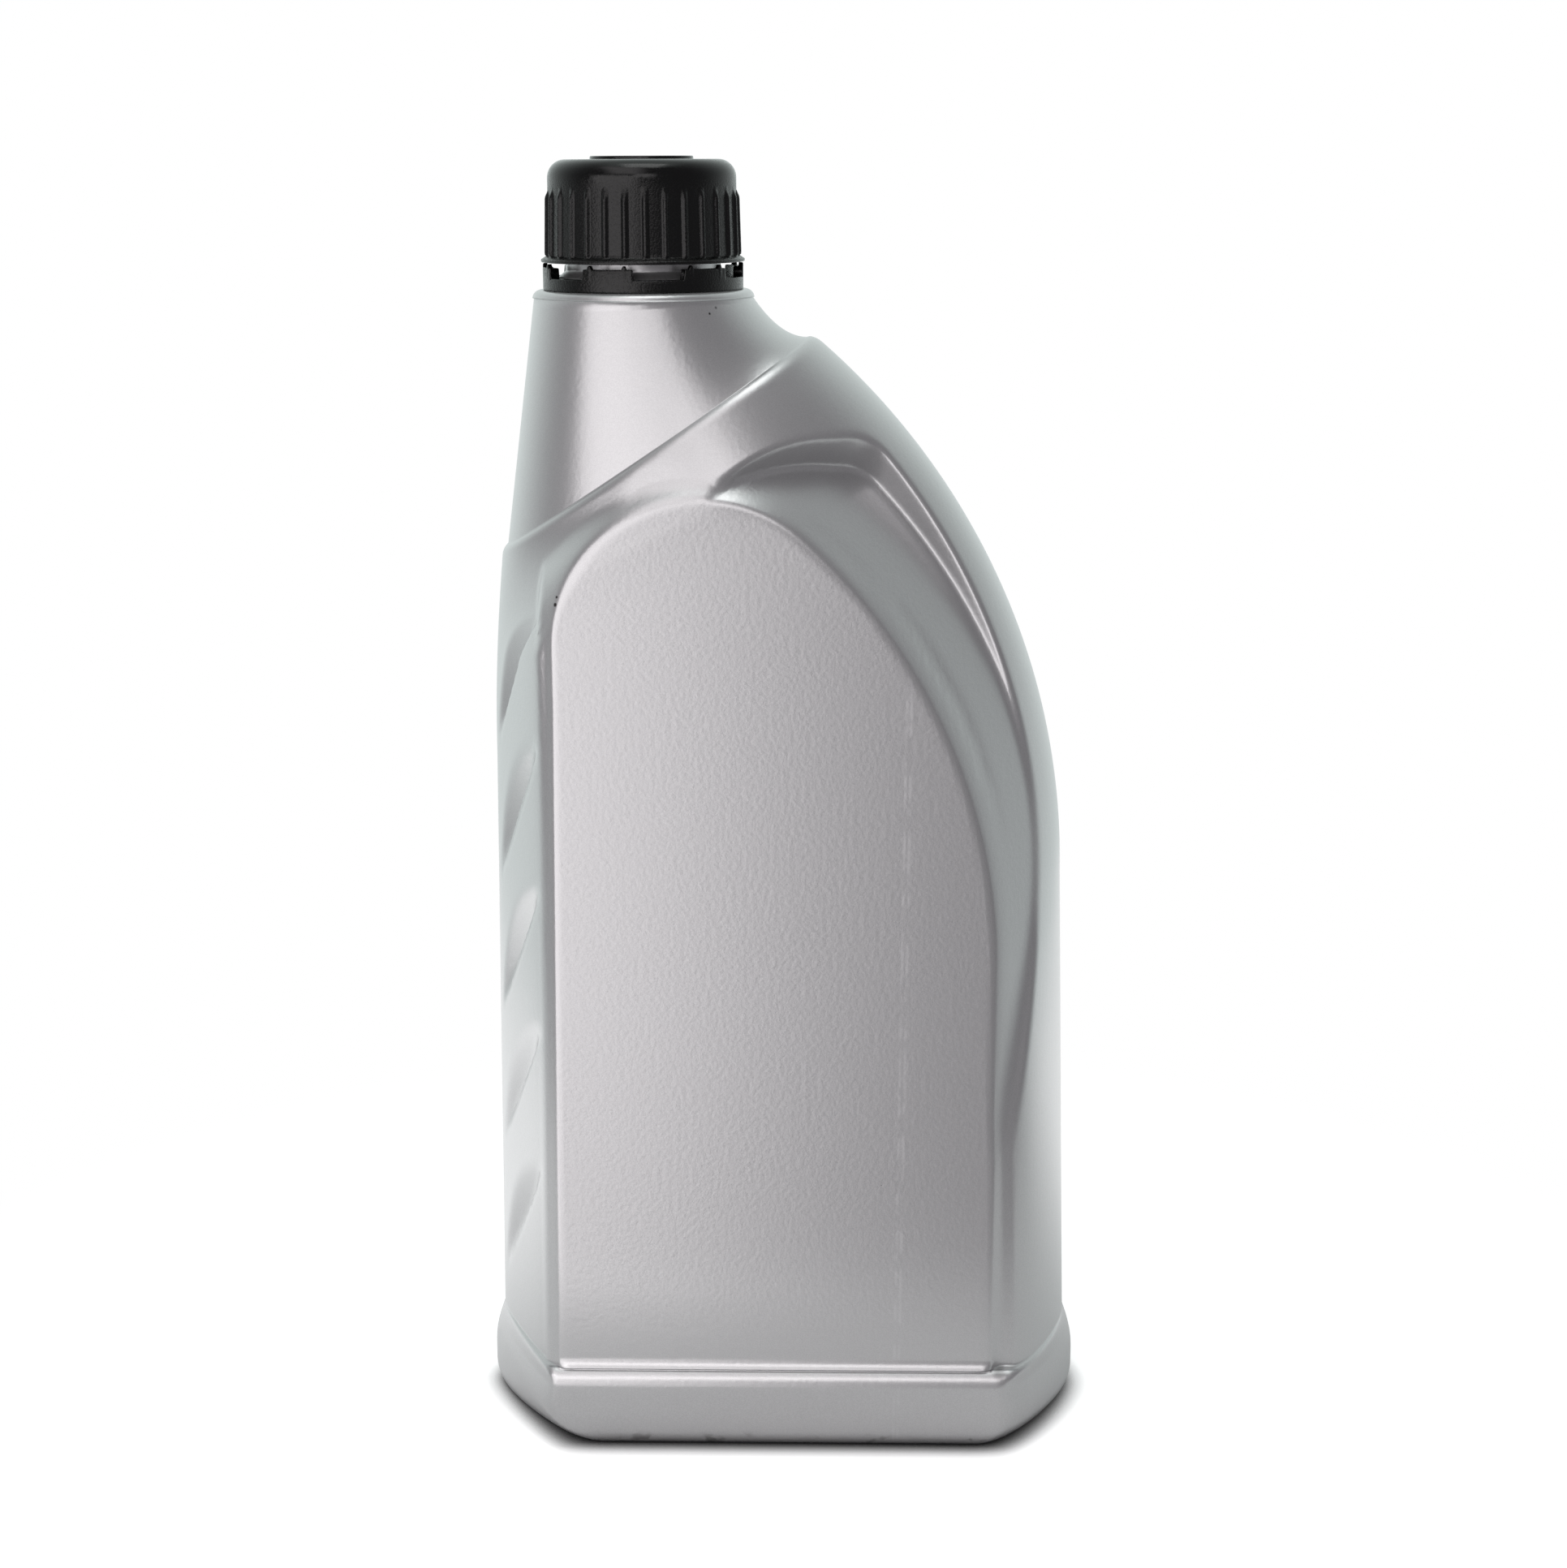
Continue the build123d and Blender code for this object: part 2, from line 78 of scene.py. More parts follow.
camera = bpy.data.objects.new("camera", bpy.data.cameras.new("camera"))
stand(camera, camera_place, camera_right, camera_up, -ahead)
camera.data.sensor_fit = "HORIZONTAL"
camera.data.sensor_width = sensor_width
camera.data.lens = sensor_width * focal_pixels / photo_width
bpy.context.scene.camera = camera
bpy.context.scene.view_settings.view_transform = "Standard"
print("lens", round(camera.data.lens, 2), "mm")

# %% [markdown]
# Every new piece is a stack of closed rings: columns run round the piece and rows run along its
# profile. One small class collects such blocks, skins neighbouring rows with four-sided faces and
# halves the number of columns where a coarser block follows. Columns run anticlockwise seen from
# above and rows run up the outside, so all faces point outwards.

# %% Rings and skins
MERGE_DISTANCE = 1e-7
MILLILITRES = 1e6


class Skin:
    """Blocks of rings that become one closed mesh."""

    def __init__(self):
        """Starts with no points and no faces."""
        self.points = []
        self.quads = []
        self.triangles = []
        self.count = 0

    def block(self, grid):
        """Adds a grid of (rows, columns, 3) points in millimetres and returns its numbers."""
        rows, columns = grid.shape[:2]
        numbers = self.count + np.arange(rows * columns).reshape(rows, columns)
        self.points.append(grid.reshape(-1, 3))
        self.count += rows * columns
        return numbers

    def skin(self, numbers):
        """Joins each row to the next one, all the way round."""
        low, high = numbers[:-1], numbers[1:]
        faces = np.stack((low, np.roll(low, -1, 1), np.roll(high, -1, 1), high), -1)
        self.quads.append(faces.reshape(-1, 4))

    def halve(self, fine, coarse, upwards=True):
        """Joins a row to one with half its columns by three triangles for each coarse column."""
        first, middle, last = fine[0::2], fine[1::2], np.roll(fine, -2)[0::2]
        here, there = coarse, np.roll(coarse, -1)
        faces = np.concatenate((np.stack((first, middle, here), -1),
                                np.stack((middle, there, here), -1),
                                np.stack((middle, last, there), -1)))
        self.triangles.append(faces if upwards else faces[:, ::-1])

    def finish(self, name):
        """Makes the mesh object, merges the poles and prints its size and volume."""
        quads = np.concatenate(self.quads)
        triangles = np.concatenate(self.triangles + [np.zeros((0, 3), int)])
        loops = np.concatenate((quads.ravel(), triangles.ravel())).astype(np.int32)
        sizes = np.concatenate((np.full(len(quads), 4), np.full(len(triangles), 3)))
        starts = np.concatenate(((0,), np.cumsum(sizes)[:-1])).astype(np.int32)
        mesh = bpy.data.meshes.new(name)
        mesh.vertices.add(self.count)
        mesh.vertices.foreach_set("co", (np.concatenate(self.points) * METRE).ravel())
        mesh.loops.add(len(loops))
        mesh.loops.foreach_set("vertex_index", loops)
        mesh.polygons.add(len(sizes))
        mesh.polygons.foreach_set("loop_start", starts)
        mesh.polygons.foreach_set("use_smooth", np.ones(len(sizes), bool))
        mesh.update(calc_edges=True)
        solid = bmesh.new()
        solid.from_mesh(mesh)
        bmesh.ops.remove_doubles(solid, verts=solid.verts, dist=MERGE_DISTANCE)
        open_edges = sum(len(edge.link_faces) != 2 for edge in solid.edges)
        volume = solid.calc_volume(signed=True) * MILLILITRES
        solid.to_mesh(mesh)
        solid.free()
        mesh.validate()
        piece = bpy.data.objects.new(name, mesh)
        bpy.context.scene.collection.objects.link(piece)
        count = sum(len(face.vertices) - 2 for face in mesh.polygons)
        print(name, count, "triangles,", round(volume, 2), "ml of plastic,",
              open_edges, "open edges")
        return piece


def smooth_step(value, start, end):
    """0 before start, 1 after end and an S-shaped cubic between them."""
    share = np.clip((value - start) / (end - start), 0.0, 1.0)
    return share * share * (3.0 - 2.0 * share)


def smooth_min(a, b, blend):
    """The lesser of two heights, with the corner between them rounded over the blend."""
    near = np.maximum(blend - np.abs(a - b), 0.0) / blend
    return np.minimum(a, b) - near * near * blend / 4.0


def smooth_max(a, b, blend):
    """The greater of two heights, with the corner between them rounded over the blend."""
    return -smooth_min(-a, -b, blend)


# %% [markdown]
# The blown body stands on a bulging foot band. Above the waist its sections start level and tilt
# like an opening fan until the last one lies in the sloping shoulder. Each section is flat at the
# front and back, with an arched flank on either side. A subdivided box could be pulled to this
# shape by eye, but named sizes can be set against the photograph one by one. They are in
# millimetres, as in the solid, and the neck's place comes from the frame.

# %% Sizes of the body
cap_low, cap_high = (np.array(corner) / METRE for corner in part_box("screw_cap"))
ring_low, ring_high = (np.array(corner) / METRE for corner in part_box("tamper_ring"))
neck_x = (cap_low[0] + cap_high[0]) / 2
collar_height = ring_low[2]
rim_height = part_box("bottle")[1][2] / METRE

waist_height = 17.5
waist_half_width = 58.1
tip_height = 216.7
shoulder_height = 176.0
left_bend_height = 135.0
left_bend_half_width = 56.4
left_bend_radius = 330.0
spine_height = 111.0
spine_half_width = 55.8
spine_radius = 138.0
spine_x = spine_half_width - spine_radius
trunk_depth = 29.4
shoulder_thinning = 2.8
shoulder_swell = 0.6
flank_reach = 12.3
left_corner = -43.0
left_lean = 0.0145
lean_height = 150.0
left_fullness = 0.12
right_fullness = 0.32
round_fullness = 0.5523
shoulder_fullness = 0.59
shoulder_flat = 1.0

panel_depth = 31.0
panel_left = -41.5
panel_right = 41.9
panel_corner = 28.0
panel_flank_radius = 112.5
panel_flank_height = 98.5
panel_flank_x = panel_right - panel_flank_radius
corner_x = panel_left + panel_corner
corner_height = panel_flank_height + np.sqrt(
    (panel_flank_radius - panel_corner)**2 - (corner_x - panel_flank_x)**2)


def left_edge(height):
    """X of the left outline: a straight draft, then a long arc that leans in."""
    share = (height - waist_height) / (left_bend_height - waist_height)
    straight = waist_half_width + share * (left_bend_half_width - waist_half_width)
    rise = np.maximum(height - left_bend_height, 0.0)
    arc = left_bend_half_width - left_bend_radius + np.sqrt(left_bend_radius**2 - rise**2)
    return -np.where(height < left_bend_height, straight, arc)


def lean_out(height):
    """How far the panel's left edge and the flank beside it lean out below the lean height."""
    return left_lean * np.maximum(lean_height - height, 0.0)


def right_edge(height):
    """X of the spine: a straight draft, then the grip arc up to the shoulder's tip."""
    share = (height - waist_height) / (spine_height - waist_height)
    straight = waist_half_width + share * (spine_half_width - waist_half_width)
    rise = np.maximum(height - spine_height, 0.0)
    arc = spine_x + np.sqrt(spine_radius**2 - rise**2)
    return np.where(height < spine_height, straight, arc)


shoulder_left = np.array((float(left_edge(shoulder_height)), shoulder_height))
shoulder_tip = np.array((float(right_edge(tip_height)), tip_height))
shoulder_run = (shoulder_tip - shoulder_left) / np.linalg.norm(shoulder_tip - shoulder_left)
print("shoulder slope", round(float(np.degrees(np.arctan2(*shoulder_run[::-1]))), 1), "degrees")

# %% [markdown]
# A section of the blown wall needs few numbers: its two ends, its depth, and how far and how full
# each flank curves. Curve objects could be lofted one by one. Here one function draws all sections
# at once with the same number of points, so that the rows line up by themselves. The flanks start
# to round, and the depth to swell and thin, at given shares of the fan's height.

# %% Sections of the body
half_columns = 174
arc_samples = 60
left_round_start = 0.865
left_round_power = 1.6
right_round_start = 0.42
right_round_power = 1.4
swell_shares = (0.87, 0.95)
thinning_start = 0.93
thinning_power = 1.3


def front_rings(left, right, depth, left_reach, right_reach, left_full, right_full):
    """Front halves of the sections, from the left vertex to the right one.

    A flank is a cubic arc from its vertex to the corner of the flat. The points are spaced
    evenly along each outline: one interpolation serves all rows, because row k uses the keys
    from 2k to 2k + 1.
    """
    t = np.linspace(0.0, 1.0, arc_samples)
    by_vertex, by_corner, corner = 3 * t * (1 - t)**2, 3 * t**2 * (1 - t), t**3
    length = np.linalg.norm(right - left, axis=1)[:, None]
    run = (right - left) / length

    def arc(reach, full):
        """Places along the section and out from it, from a flank's vertex to its corner."""
        return (reach[:, None] * ((1 - full[:, None]) * by_corner + corner),
                depth[:, None] * (full[:, None] * by_vertex + by_corner + corner))

    left_along, left_depth = arc(left_reach, left_full)
    right_along, right_depth = arc(right_reach, right_full)
    along = np.concatenate((left_along, length - right_along[:, ::-1]), 1)
    out = np.concatenate((left_depth, right_depth[:, ::-1]), 1)
    steps = np.hypot(np.diff(along, axis=1), np.diff(out, axis=1))
    path = np.concatenate((np.zeros((len(steps), 1)), np.cumsum(steps, 1)), 1)
    rows = 2.0 * np.arange(len(path))[:, None]
    keys = (rows + path / path[:, -1:]).ravel()
    wanted = (rows + np.linspace(0.0, 1.0, half_columns + 1)).ravel()
    shape = (len(path), half_columns + 1)
    along = np.interp(wanted, keys, along.ravel()).reshape(shape)
    out = np.interp(wanted, keys, out.ravel()).reshape(shape)
    return np.stack((left[:, :1] + along * run[:, :1], -out, left[:, 1:] + along * run[:, 1:]), -1)


def eased(share, start, power):
    """How far a share lies between start and 1, raised to a power, and 0 before start."""
    return np.maximum((share - start) / (1 - start), 0.0)**power


def trunk_rings(share, inset):
    """Sections of the fan at shares of its height, drawn in by an inset."""
    left_height = waist_height + share * (shoulder_height - waist_height)
    right_height = waist_height + share * (tip_height - waist_height)
    left = np.stack((left_edge(left_height), left_height), -1)
    right = np.stack((right_edge(right_height), right_height), -1)
    run = (right - left) / np.linalg.norm(right - left, axis=1)[:, None]
    left = left + inset[:, None] * run
    right = right - inset[:, None] * run
    whole = (np.linalg.norm(right - left, axis=1) - shoulder_flat) / 2
    left_reach = left_corner - lean_out(left_height) - left[:, 0]
    left_ease = eased(share, left_round_start, left_round_power)
    right_ease = eased(share, right_round_start, right_round_power)
    swell = shoulder_swell * smooth_step(share, *swell_shares)
    thinned = eased(share, thinning_start, thinning_power) * (shoulder_thinning + shoulder_swell)
    depth = trunk_depth + swell - inset - thinned
    return front_rings(left, right, depth,
                       left_reach + left_ease * (whole - left_reach),
                       flank_reach + right_ease * (whole - flank_reach),
                       left_fullness + left_ease * (shoulder_fullness - left_fullness),
                       right_fullness + right_ease * (shoulder_fullness - right_fullness))


foot_bulge_height = 8.5
foot_side_bulge = 2.0
foot_front_bulge = 3.6
foot_edge = 4.5
foot_round_height = 7.0
foot_side_edge = 2.6
foot_side_round_height = 5.0
foot_flank_reach = 24.5
foot_right_reach = 20.0
foot_fullness = 0.3
foot_corner_height = 9.0
foot_corner_power = 1.5
bumper_middle = 13.3
bumper_top = 17.2
bumper_gap = 3.4


def foot_rings(height, side, front):
    """Level sections of the foot band, bulged by side and front, with rounder corners below."""
    share = np.maximum(1 - height / foot_corner_height, 0.0)**foot_corner_power
    half_width = waist_half_width + side
    left = np.stack((-half_width, height), -1)
    right = np.stack((half_width, height), -1)
    lean = lean_out(waist_height) * smooth_step(height, bumper_middle, waist_height)
    left_reach = left_corner - lean + waist_half_width
    left_reach = left_reach + share * (foot_flank_reach - left_reach)
    right_reach = flank_reach + bumper_gap * (1 - smooth_step(height, bumper_middle, waist_height))
    right_reach = right_reach + share * (foot_right_reach - right_reach)
    return front_rings(left, right, trunk_depth + front, left_reach, right_reach,
                       left_fullness + share * (foot_fullness - left_fullness),
                       right_fullness + share * (foot_fullness - right_fullness))


print("half sections of", half_columns + 1, "points")

# %% [markdown]
# The label panel and the grip recess beside it are pressed into the blown wall by the mould. They
# could be sculpted, but a height over the front keeps their edges true: the panel is a plateau
# with a bevelled edge and a flared foot, and the recess is a valley between a ramp off the panel's
# edge and a wall under the shoulder and along the spine. The higher of wall and ramp shows.

# %% Panel and recess as heights
bevel_fall = 1 / np.tan(np.radians(48.0))
bevel_width = 3.0
cheek_width = 2.0
cheek_bend = 0.2
cheek_heights = (164.0, 180.0)
bevel_round = 0.5
cheek_round = 0.9
skirt_fall = 6.0
skirt_round = 1.0
panel_low = 16.6
panel_low_round = 0.2
flare_low = 16.9
flare_high = 18.8
flare_depth = 0.9

recess_rim = 5.0
recess_spine_fall = 1.9
recess_top_x = 9.0
recess_top_height = 172.0
recess_top_radius = 27.1
recess_top_fall = 1.5
recess_corner = 6.0
recess_end_level = 18.0
recess_end = 112.0
recess_fade = 4.0
recess_end_round = 3.0
ramp_fall = 1 / np.tan(np.radians(35.0))
ramp_round = 2.0


def panel_distance(x, z):
    """Distance into the panel's outline, negative outside: two lines and two tangent arcs."""
    by_corner = panel_corner - np.hypot(x - corner_x, z - corner_height)
    arc = panel_flank_radius - np.hypot(x - panel_flank_x, z - panel_flank_height)
    by_right = np.where(z > panel_flank_height, arc, panel_right - x)
    joint = (corner_x - panel_flank_x) * (z - corner_height) \
        - (corner_height - panel_flank_height) * (x - corner_x)
    in_corner = (z > corner_height) & (joint > 0)
    return np.where(in_corner, by_corner, np.minimum(x - panel_left + lean_out(z), by_right))


def panel_surface(x, z):
    """Depth of the plateau: level inside, flared below, then falling along bevel and skirt."""
    inside = panel_distance(x, z)
    upper = smooth_step(z, *cheek_heights)
    bevel = panel_depth + inside * bevel_fall - upper * cheek_bend * np.minimum(inside, 0.0)**2
    width = bevel_width + cheek_width * upper
    skirt = panel_depth - width * bevel_fall + (inside + width) * skirt_fall
    flare = np.clip((flare_high - z) / (flare_high - flare_low), 0.0, 1.0)
    plateau = panel_depth + flare_depth * flare**2
    lower = panel_depth + (z - panel_low) * skirt_fall
    top = smooth_min(plateau, bevel, bevel_round + cheek_round * upper)
    return smooth_min(smooth_min(top, skirt, skirt_round), lower, panel_low_round)


def recess_surface(x, z, depth):
    """Depth of the valley: the highest of its wall, the panel's ramp and the lower end."""
    arc = np.hypot(x - spine_x, z - spine_height) - (spine_radius - recess_rim)
    by_spine = np.where(z > spine_height, arc, x - spine_half_width + recess_rim)
    left = np.minimum(x - recess_top_x, 0.0)
    by_top = np.hypot(left, np.maximum(z - recess_top_height, 0.0)) - recess_top_radius
    wall = depth + smooth_max(recess_spine_fall * by_spine, recess_top_fall * by_top, recess_corner)
    ramp = panel_depth + panel_distance(x, z) * ramp_fall
    fade = recess_end_level + (recess_end - z) / recess_fade
    return smooth_max(smooth_max(wall, ramp, ramp_round), fade, recess_end_round)


print("panel corner centred at", round(corner_x, 1), "and", round(float(corner_height), 1), "mm")

# %% [markdown]
# Five slanted notches in each left flank give the fingers a hold. Boolean cuts would leave sharp,
# uneven faces on a blown wall. So a notch is a depth over the flank instead: a straight lip that
# cuts in at once, and a floor that comes back to the flank away from the lip and at its ends.

# %% Finger notches as cuts
notch_count = 5
notch_first = waist_height + 26.0
notch_pitch = 27.9
notch_depth = 2.6
notch_half_lip = 20.0
notch_width = 6.5
notch_slant = np.radians(49.5)
notch_lip_rise = (-1.5, 0.7)
notch_out_limit = 0.3
notch_round = 0.35
notch_middle = notch_first + (notch_count - 1) / 2 * notch_pitch
notch_reach = left_corner - float(lean_out(notch_middle) + left_edge(notch_middle))
flank_chord = np.hypot(notch_reach, trunk_depth)
flank_across = np.array((-notch_reach, trunk_depth, 0.0)) / flank_chord
flank_out = np.array((-trunk_depth, -notch_reach, 0.0)) / flank_chord
notch_along = flank_across * np.cos(notch_slant) - np.array((0, 0, np.sin(notch_slant)))
notch_rise = flank_across * np.sin(notch_slant) + np.array((0, 0, np.cos(notch_slant)))


def notch_frame(points, number):
    """Places along and above the lip of one notch, and out from the flank's tangent plane.

    Halfway along its cubic arc, a flank has come out by this share of its depth.
    """
    height = notch_first + number * notch_pitch
    share = (4 + 3 * left_fullness) / 8
    edge = float(left_edge(height))
    reach = left_corner - float(lean_out(height)) - edge
    middle = np.array((edge + reach * (1 - share), -trunk_depth * share, height))
    offset = points - middle
    return offset @ notch_along, offset @ notch_rise, offset @ flank_out


def notch_cut(points):
    """Depth of the notches: deepest at a straight lip, shallower away from it and at its ends."""
    cut = np.zeros(points.shape[:2])
    for number in range(notch_count):
        along, rise, out = notch_frame(points, number)
        floor = notch_depth * (1 - (along / notch_half_lip)**2 - rise / notch_width)
        floor = floor + np.minimum(out, notch_out_limit)
        lip = smooth_step(rise, *notch_lip_rise)
        cut += smooth_max(floor, 0.0, notch_round) * lip * (np.abs(along) < notch_half_lip)
    return cut


print(notch_count, "notches on a flank", round(float(flank_chord), 1), "mm across")

# %% [markdown]
# A grid that ignores the panel's edge would draw it as small stairs. So the rows and columns are
# drawn towards the edge like a lens draws a line: a distance d to the edge becomes d times |d| over
# the lens's reach. The shift is worked out in row and column numbers, and the new places are read
# from a finer copy of the plain form.

# %% Lens on the grid
fineness = 3
lens_reach = 4.0
lens_limit = 2.5
least_steep = 1e-6


def read_grid(grid, row, column):
    """Points between the nodes of a grid, by weights of the four nodes round each place."""
    low_row = np.clip(np.floor(row).astype(int), 0, grid.shape[0] - 2)
    low_column = np.clip(np.floor(column).astype(int), 0, grid.shape[1] - 2)
    up, over = (row - low_row)[..., None], (column - low_column)[..., None]
    near = grid[low_row, low_column] * (1 - over) + grid[low_row, low_column + 1] * over
    far = grid[low_row + 1, low_column] * (1 - over) + grid[low_row + 1, low_column + 1] * over
    return near * (1 - up) + far * up


def lens_shift(distance, weight):
    """Row and column shifts that draw a grid towards distance 0, fading with the weight."""
    share = np.clip(np.abs(distance) / lens_reach, 0.0, 1.0)
    wanted = distance * (share - 1.0) * weight
    by_row, by_column = np.gradient(distance)
    shift = wanted / (by_row**2 + by_column**2 + least_steep)
    return (np.clip(shift * by_row, -lens_limit, lens_limit),
            np.clip(shift * by_column, -lens_limit, lens_limit))


# Rows crowd over the bumper, at the waist and under the shoulder, where the form turns fast.
foot_rows = 32
foot_row_marks = (0, 9, 13, 22, 32)
bumper_shoulder = 16.1
foot_heights = (0.0, foot_round_height, bumper_middle, bumper_shoulder, waist_height)
trunk_rows = 142
fan_height = 178
step_reach = 2.4
trunk_row_marks = (0.0, 0.035, 0.58, 1.0)
trunk_row_shares = (0.0, 0.0095, 0.78, 1.0 - step_reach / fan_height)


def plain_front(scale):
    """The front half of foot and trunk without panel, recess and notches."""
    number = np.arange(foot_rows * scale) / scale
    height = np.interp(number, foot_row_marks, foot_heights)
    turn = number / foot_row_marks[1] * np.pi / 2
    height = np.where(number < foot_row_marks[1], foot_round_height * (1 - np.cos(turn)), height)
    tuck = foot_edge * (1 - np.sqrt(1 - np.clip(1 - height / foot_round_height, 0, 1)**2))
    swell = np.clip((height - foot_bulge_height) / (waist_height - foot_bulge_height), 0, 1)
    side_under = np.clip(1 - height / foot_side_round_height, 0, 1)
    side = foot_side_bulge * np.cos(swell * np.pi / 2) \
        - foot_side_edge * (1 - np.sqrt(1 - side_under**2))
    over = np.clip((height - bumper_middle) / (bumper_top - bumper_middle), 0, 1)
    front = foot_front_bulge * np.sqrt(1 - over**2) - tuck
    share = np.interp(np.linspace(0.0, 1.0, trunk_rows * scale + 1),
                      trunk_row_marks, trunk_row_shares)
    return np.concatenate((foot_rings(height, side, front),
                           trunk_rings(share, np.zeros_like(share))))


coarse = plain_front(1)
fine = plain_front(fineness)
row_number, column_number = np.meshgrid(np.arange(coarse.shape[0], dtype=float),
                                        np.arange(coarse.shape[1], dtype=float), indexing="ij")
lens_first_rows = (8, 12)
lens_last_rows = (len(coarse) - 6, len(coarse) - 2)
lens_depths = (8.0, 14.0)
row_keep = smooth_step(row_number, *lens_first_rows) \
    * (1 - smooth_step(row_number, *lens_last_rows))
front_facing = smooth_step(-coarse[..., 1], *lens_depths)
row_shift, column_shift = lens_shift(panel_distance(coarse[..., 0], coarse[..., 2]),
                                     row_keep * front_facing)
row_fine = np.linspace(0, fine.shape[0] - 1, coarse.shape[0])[:, None] + row_shift * fineness
column_fine = column_number + column_shift
body = read_grid(fine, np.clip(row_fine, 0, fine.shape[0] - 1),
                 np.clip(column_fine, 0, fine.shape[1] - 1))
print("front grid", body.shape[:2], "fine grid", fine.shape[:2])

# %% [markdown]
# Now the plain front gets its relief. The panel is the higher of wall and plateau, and the recess
# is the lower of that and the valley. Where they meet, the line is rounded, as on blown plastic, and
# more so at the top of the panel. Joined meshes with a Bevel would not flow along that line.

# %% Dress the front
edge_round = 0.35
low_edge_round = 0.25
low_edge_heights = (19.0, 24.0)
high_edge_round = 1.4
high_edge_heights = (155.0, 172.0)
recess_round = 1.2
depth = -body[..., 1]
x, z = body[..., 0], body[..., 2]
edge_blend = edge_round + low_edge_round * (1 - smooth_step(z, *low_edge_heights)) \
    + high_edge_round * smooth_step(z, *high_edge_heights)
depth = np.where(depth > 0, smooth_max(depth, panel_surface(x, z), edge_blend), depth)
depth = smooth_min(depth, recess_surface(x, z, depth), recess_round)
depth[:, 0] = 0.0
depth[:, -1] = 0.0
body = np.stack((x, -depth, z), -1)
cut = notch_cut(body)
body = body - cut[..., None] * flank_out
print("deepest notch", round(float(cut.max()), 2), "mm")
body[:, 0, 1] = 0.0
body[:, -1, 1] = 0.0

# %% [markdown]
# Along the shoulder the lower body stands about a millimetre proud of the cone above it. The rows
# there turn in over a rounded edge and run into the cone, whose sections go from the tilted
# shoulder to the level collar. Its left side is straight, its right side flares in a curve. Blender
# could bridge two edge loops, but it would not bend one side and keep the other straight.

# %% Shoulder step and cone
cone_rows = 24
shoulder_step = 1.2
flare_reach = 5.2
collar_radius = 21.2
cone_top_radius = 20.9
collar_side = 1.5
cone_top = collar_height - collar_side


def cone_rings(share):
    """Sections of the cone: straight on the left, a bent curve on the right, linear depth."""
    rest = 1 - share
    base_left = shoulder_left + shoulder_step * shoulder_run
    base_right = shoulder_tip - shoulder_step * shoulder_run
    bend = base_right - np.array((flare_reach, 0.0))
    top_left = np.array((neck_x - cone_top_radius, cone_top))
    top_right = np.array((neck_x + cone_top_radius, cone_top))
    left = rest[:, None] * base_left + share[:, None] * top_left
    right = (rest**2)[:, None] * base_right + (2 * share * rest)[:, None] * bend \
        + (share**2)[:, None] * top_right
    reach = (np.linalg.norm(right - left, axis=1) - shoulder_flat) / 2
    depth = rest * (trunk_depth - shoulder_thinning - shoulder_step) + share * cone_top_radius
    full = rest * shoulder_fullness + share * round_fullness
    return front_rings(left, right, depth, reach, reach, full, full)


step_round = 1.5
step_below = np.array((2.0, 1.6, 1.3, 1.0, 0.7, 0.45, 0.25, 0.1, 0.0))
step_turn = np.clip(1 - step_below / step_round, 0.0, 1.0)
step_inset = shoulder_step * (1 - np.sqrt(1 - step_turn**2))
step_part = trunk_rings(1 - step_below / fan_height, step_inset)
first_shares = (0.006, 0.014, 0.03)
cone_share = np.concatenate((first_shares, np.linspace(0.06, 1.0, cone_rows - len(first_shares))))
cone_part = cone_rings(cone_share)
front = np.concatenate((body, step_part, cone_part))


def whole_rings(front):
    """Closed rings from front halves: the back is the front mirrored."""
    back = front[:, -2:0:-1] * np.array((1.0, -1.0, 1.0))
    return np.concatenate((front, back), 1)


outside = whole_rings(front)
print("outside", outside.shape[:2])

# %% [markdown]
# The collar and the neck are turned shapes, so they are a profile of radius and height swept round
# the neck's axis. A Screw modifier could turn it, but the thread needs its own height at every
# angle: it is a ridge that depends on how far a point is from the helix, counted along the axis.
# It is right-handed with a pitch of about four millimetres.

# %% Collar, neck and thread
neck_radius = 14.8
bore_radius = 12.7
bead_radius = 16.7
bead_base = collar_height + 1.8
thread_pitch = 4.2
thread_depth = 1.2
thread_tip = 0.4
thread_taper = 0.6
thread_start = collar_height + 7.0
thread_end = rim_height - 3.4


def arc_points(centre, radius, start, end, count):
    """Points of a circular arc in the profile's plane, with angles in degrees."""
    angle = np.radians(np.linspace(start, end, count))
    return np.stack((centre[0] + radius * np.cos(angle), centre[1] + radius * np.sin(angle)), -1)


def straight(start, end, count):
    """Evenly spaced points of a line in the profile's plane, without its two ends."""
    share = np.linspace(0.0, 1.0, count + 2)[1:-1, None]
    return np.array(start) * (1 - share) + np.array(end) * share


def thread_height(angle, height, offset, half_width, slope_width):
    """Share of the full thread: 1 on the helix's crest, 0 in its root, tapered at both ends."""
    turn = (height - thread_start) / thread_pitch - angle / (2 * np.pi) + offset
    away = np.abs(turn - np.round(turn)) * thread_pitch
    crest = height - (turn - np.round(turn)) * thread_pitch
    ends = smooth_step(crest, thread_start - thread_tip, thread_start + thread_taper) \
        * (1 - smooth_step(crest, thread_end - thread_taper, thread_end + thread_tip))
    return (1 - smooth_step(away, half_width - slope_width, half_width)) * ends


def swept(profile, angle):
    """Rings of a profile of (radius, height) rows round the neck's axis."""
    radius, height = profile[:, :1], profile[:, 1:]
    if profile.ndim == 3:
        radius, height = profile[..., 0], profile[..., 1]
    return np.stack((neck_x + radius * np.cos(angle), radius * np.sin(angle),
                     height + np.zeros_like(angle)), -1)


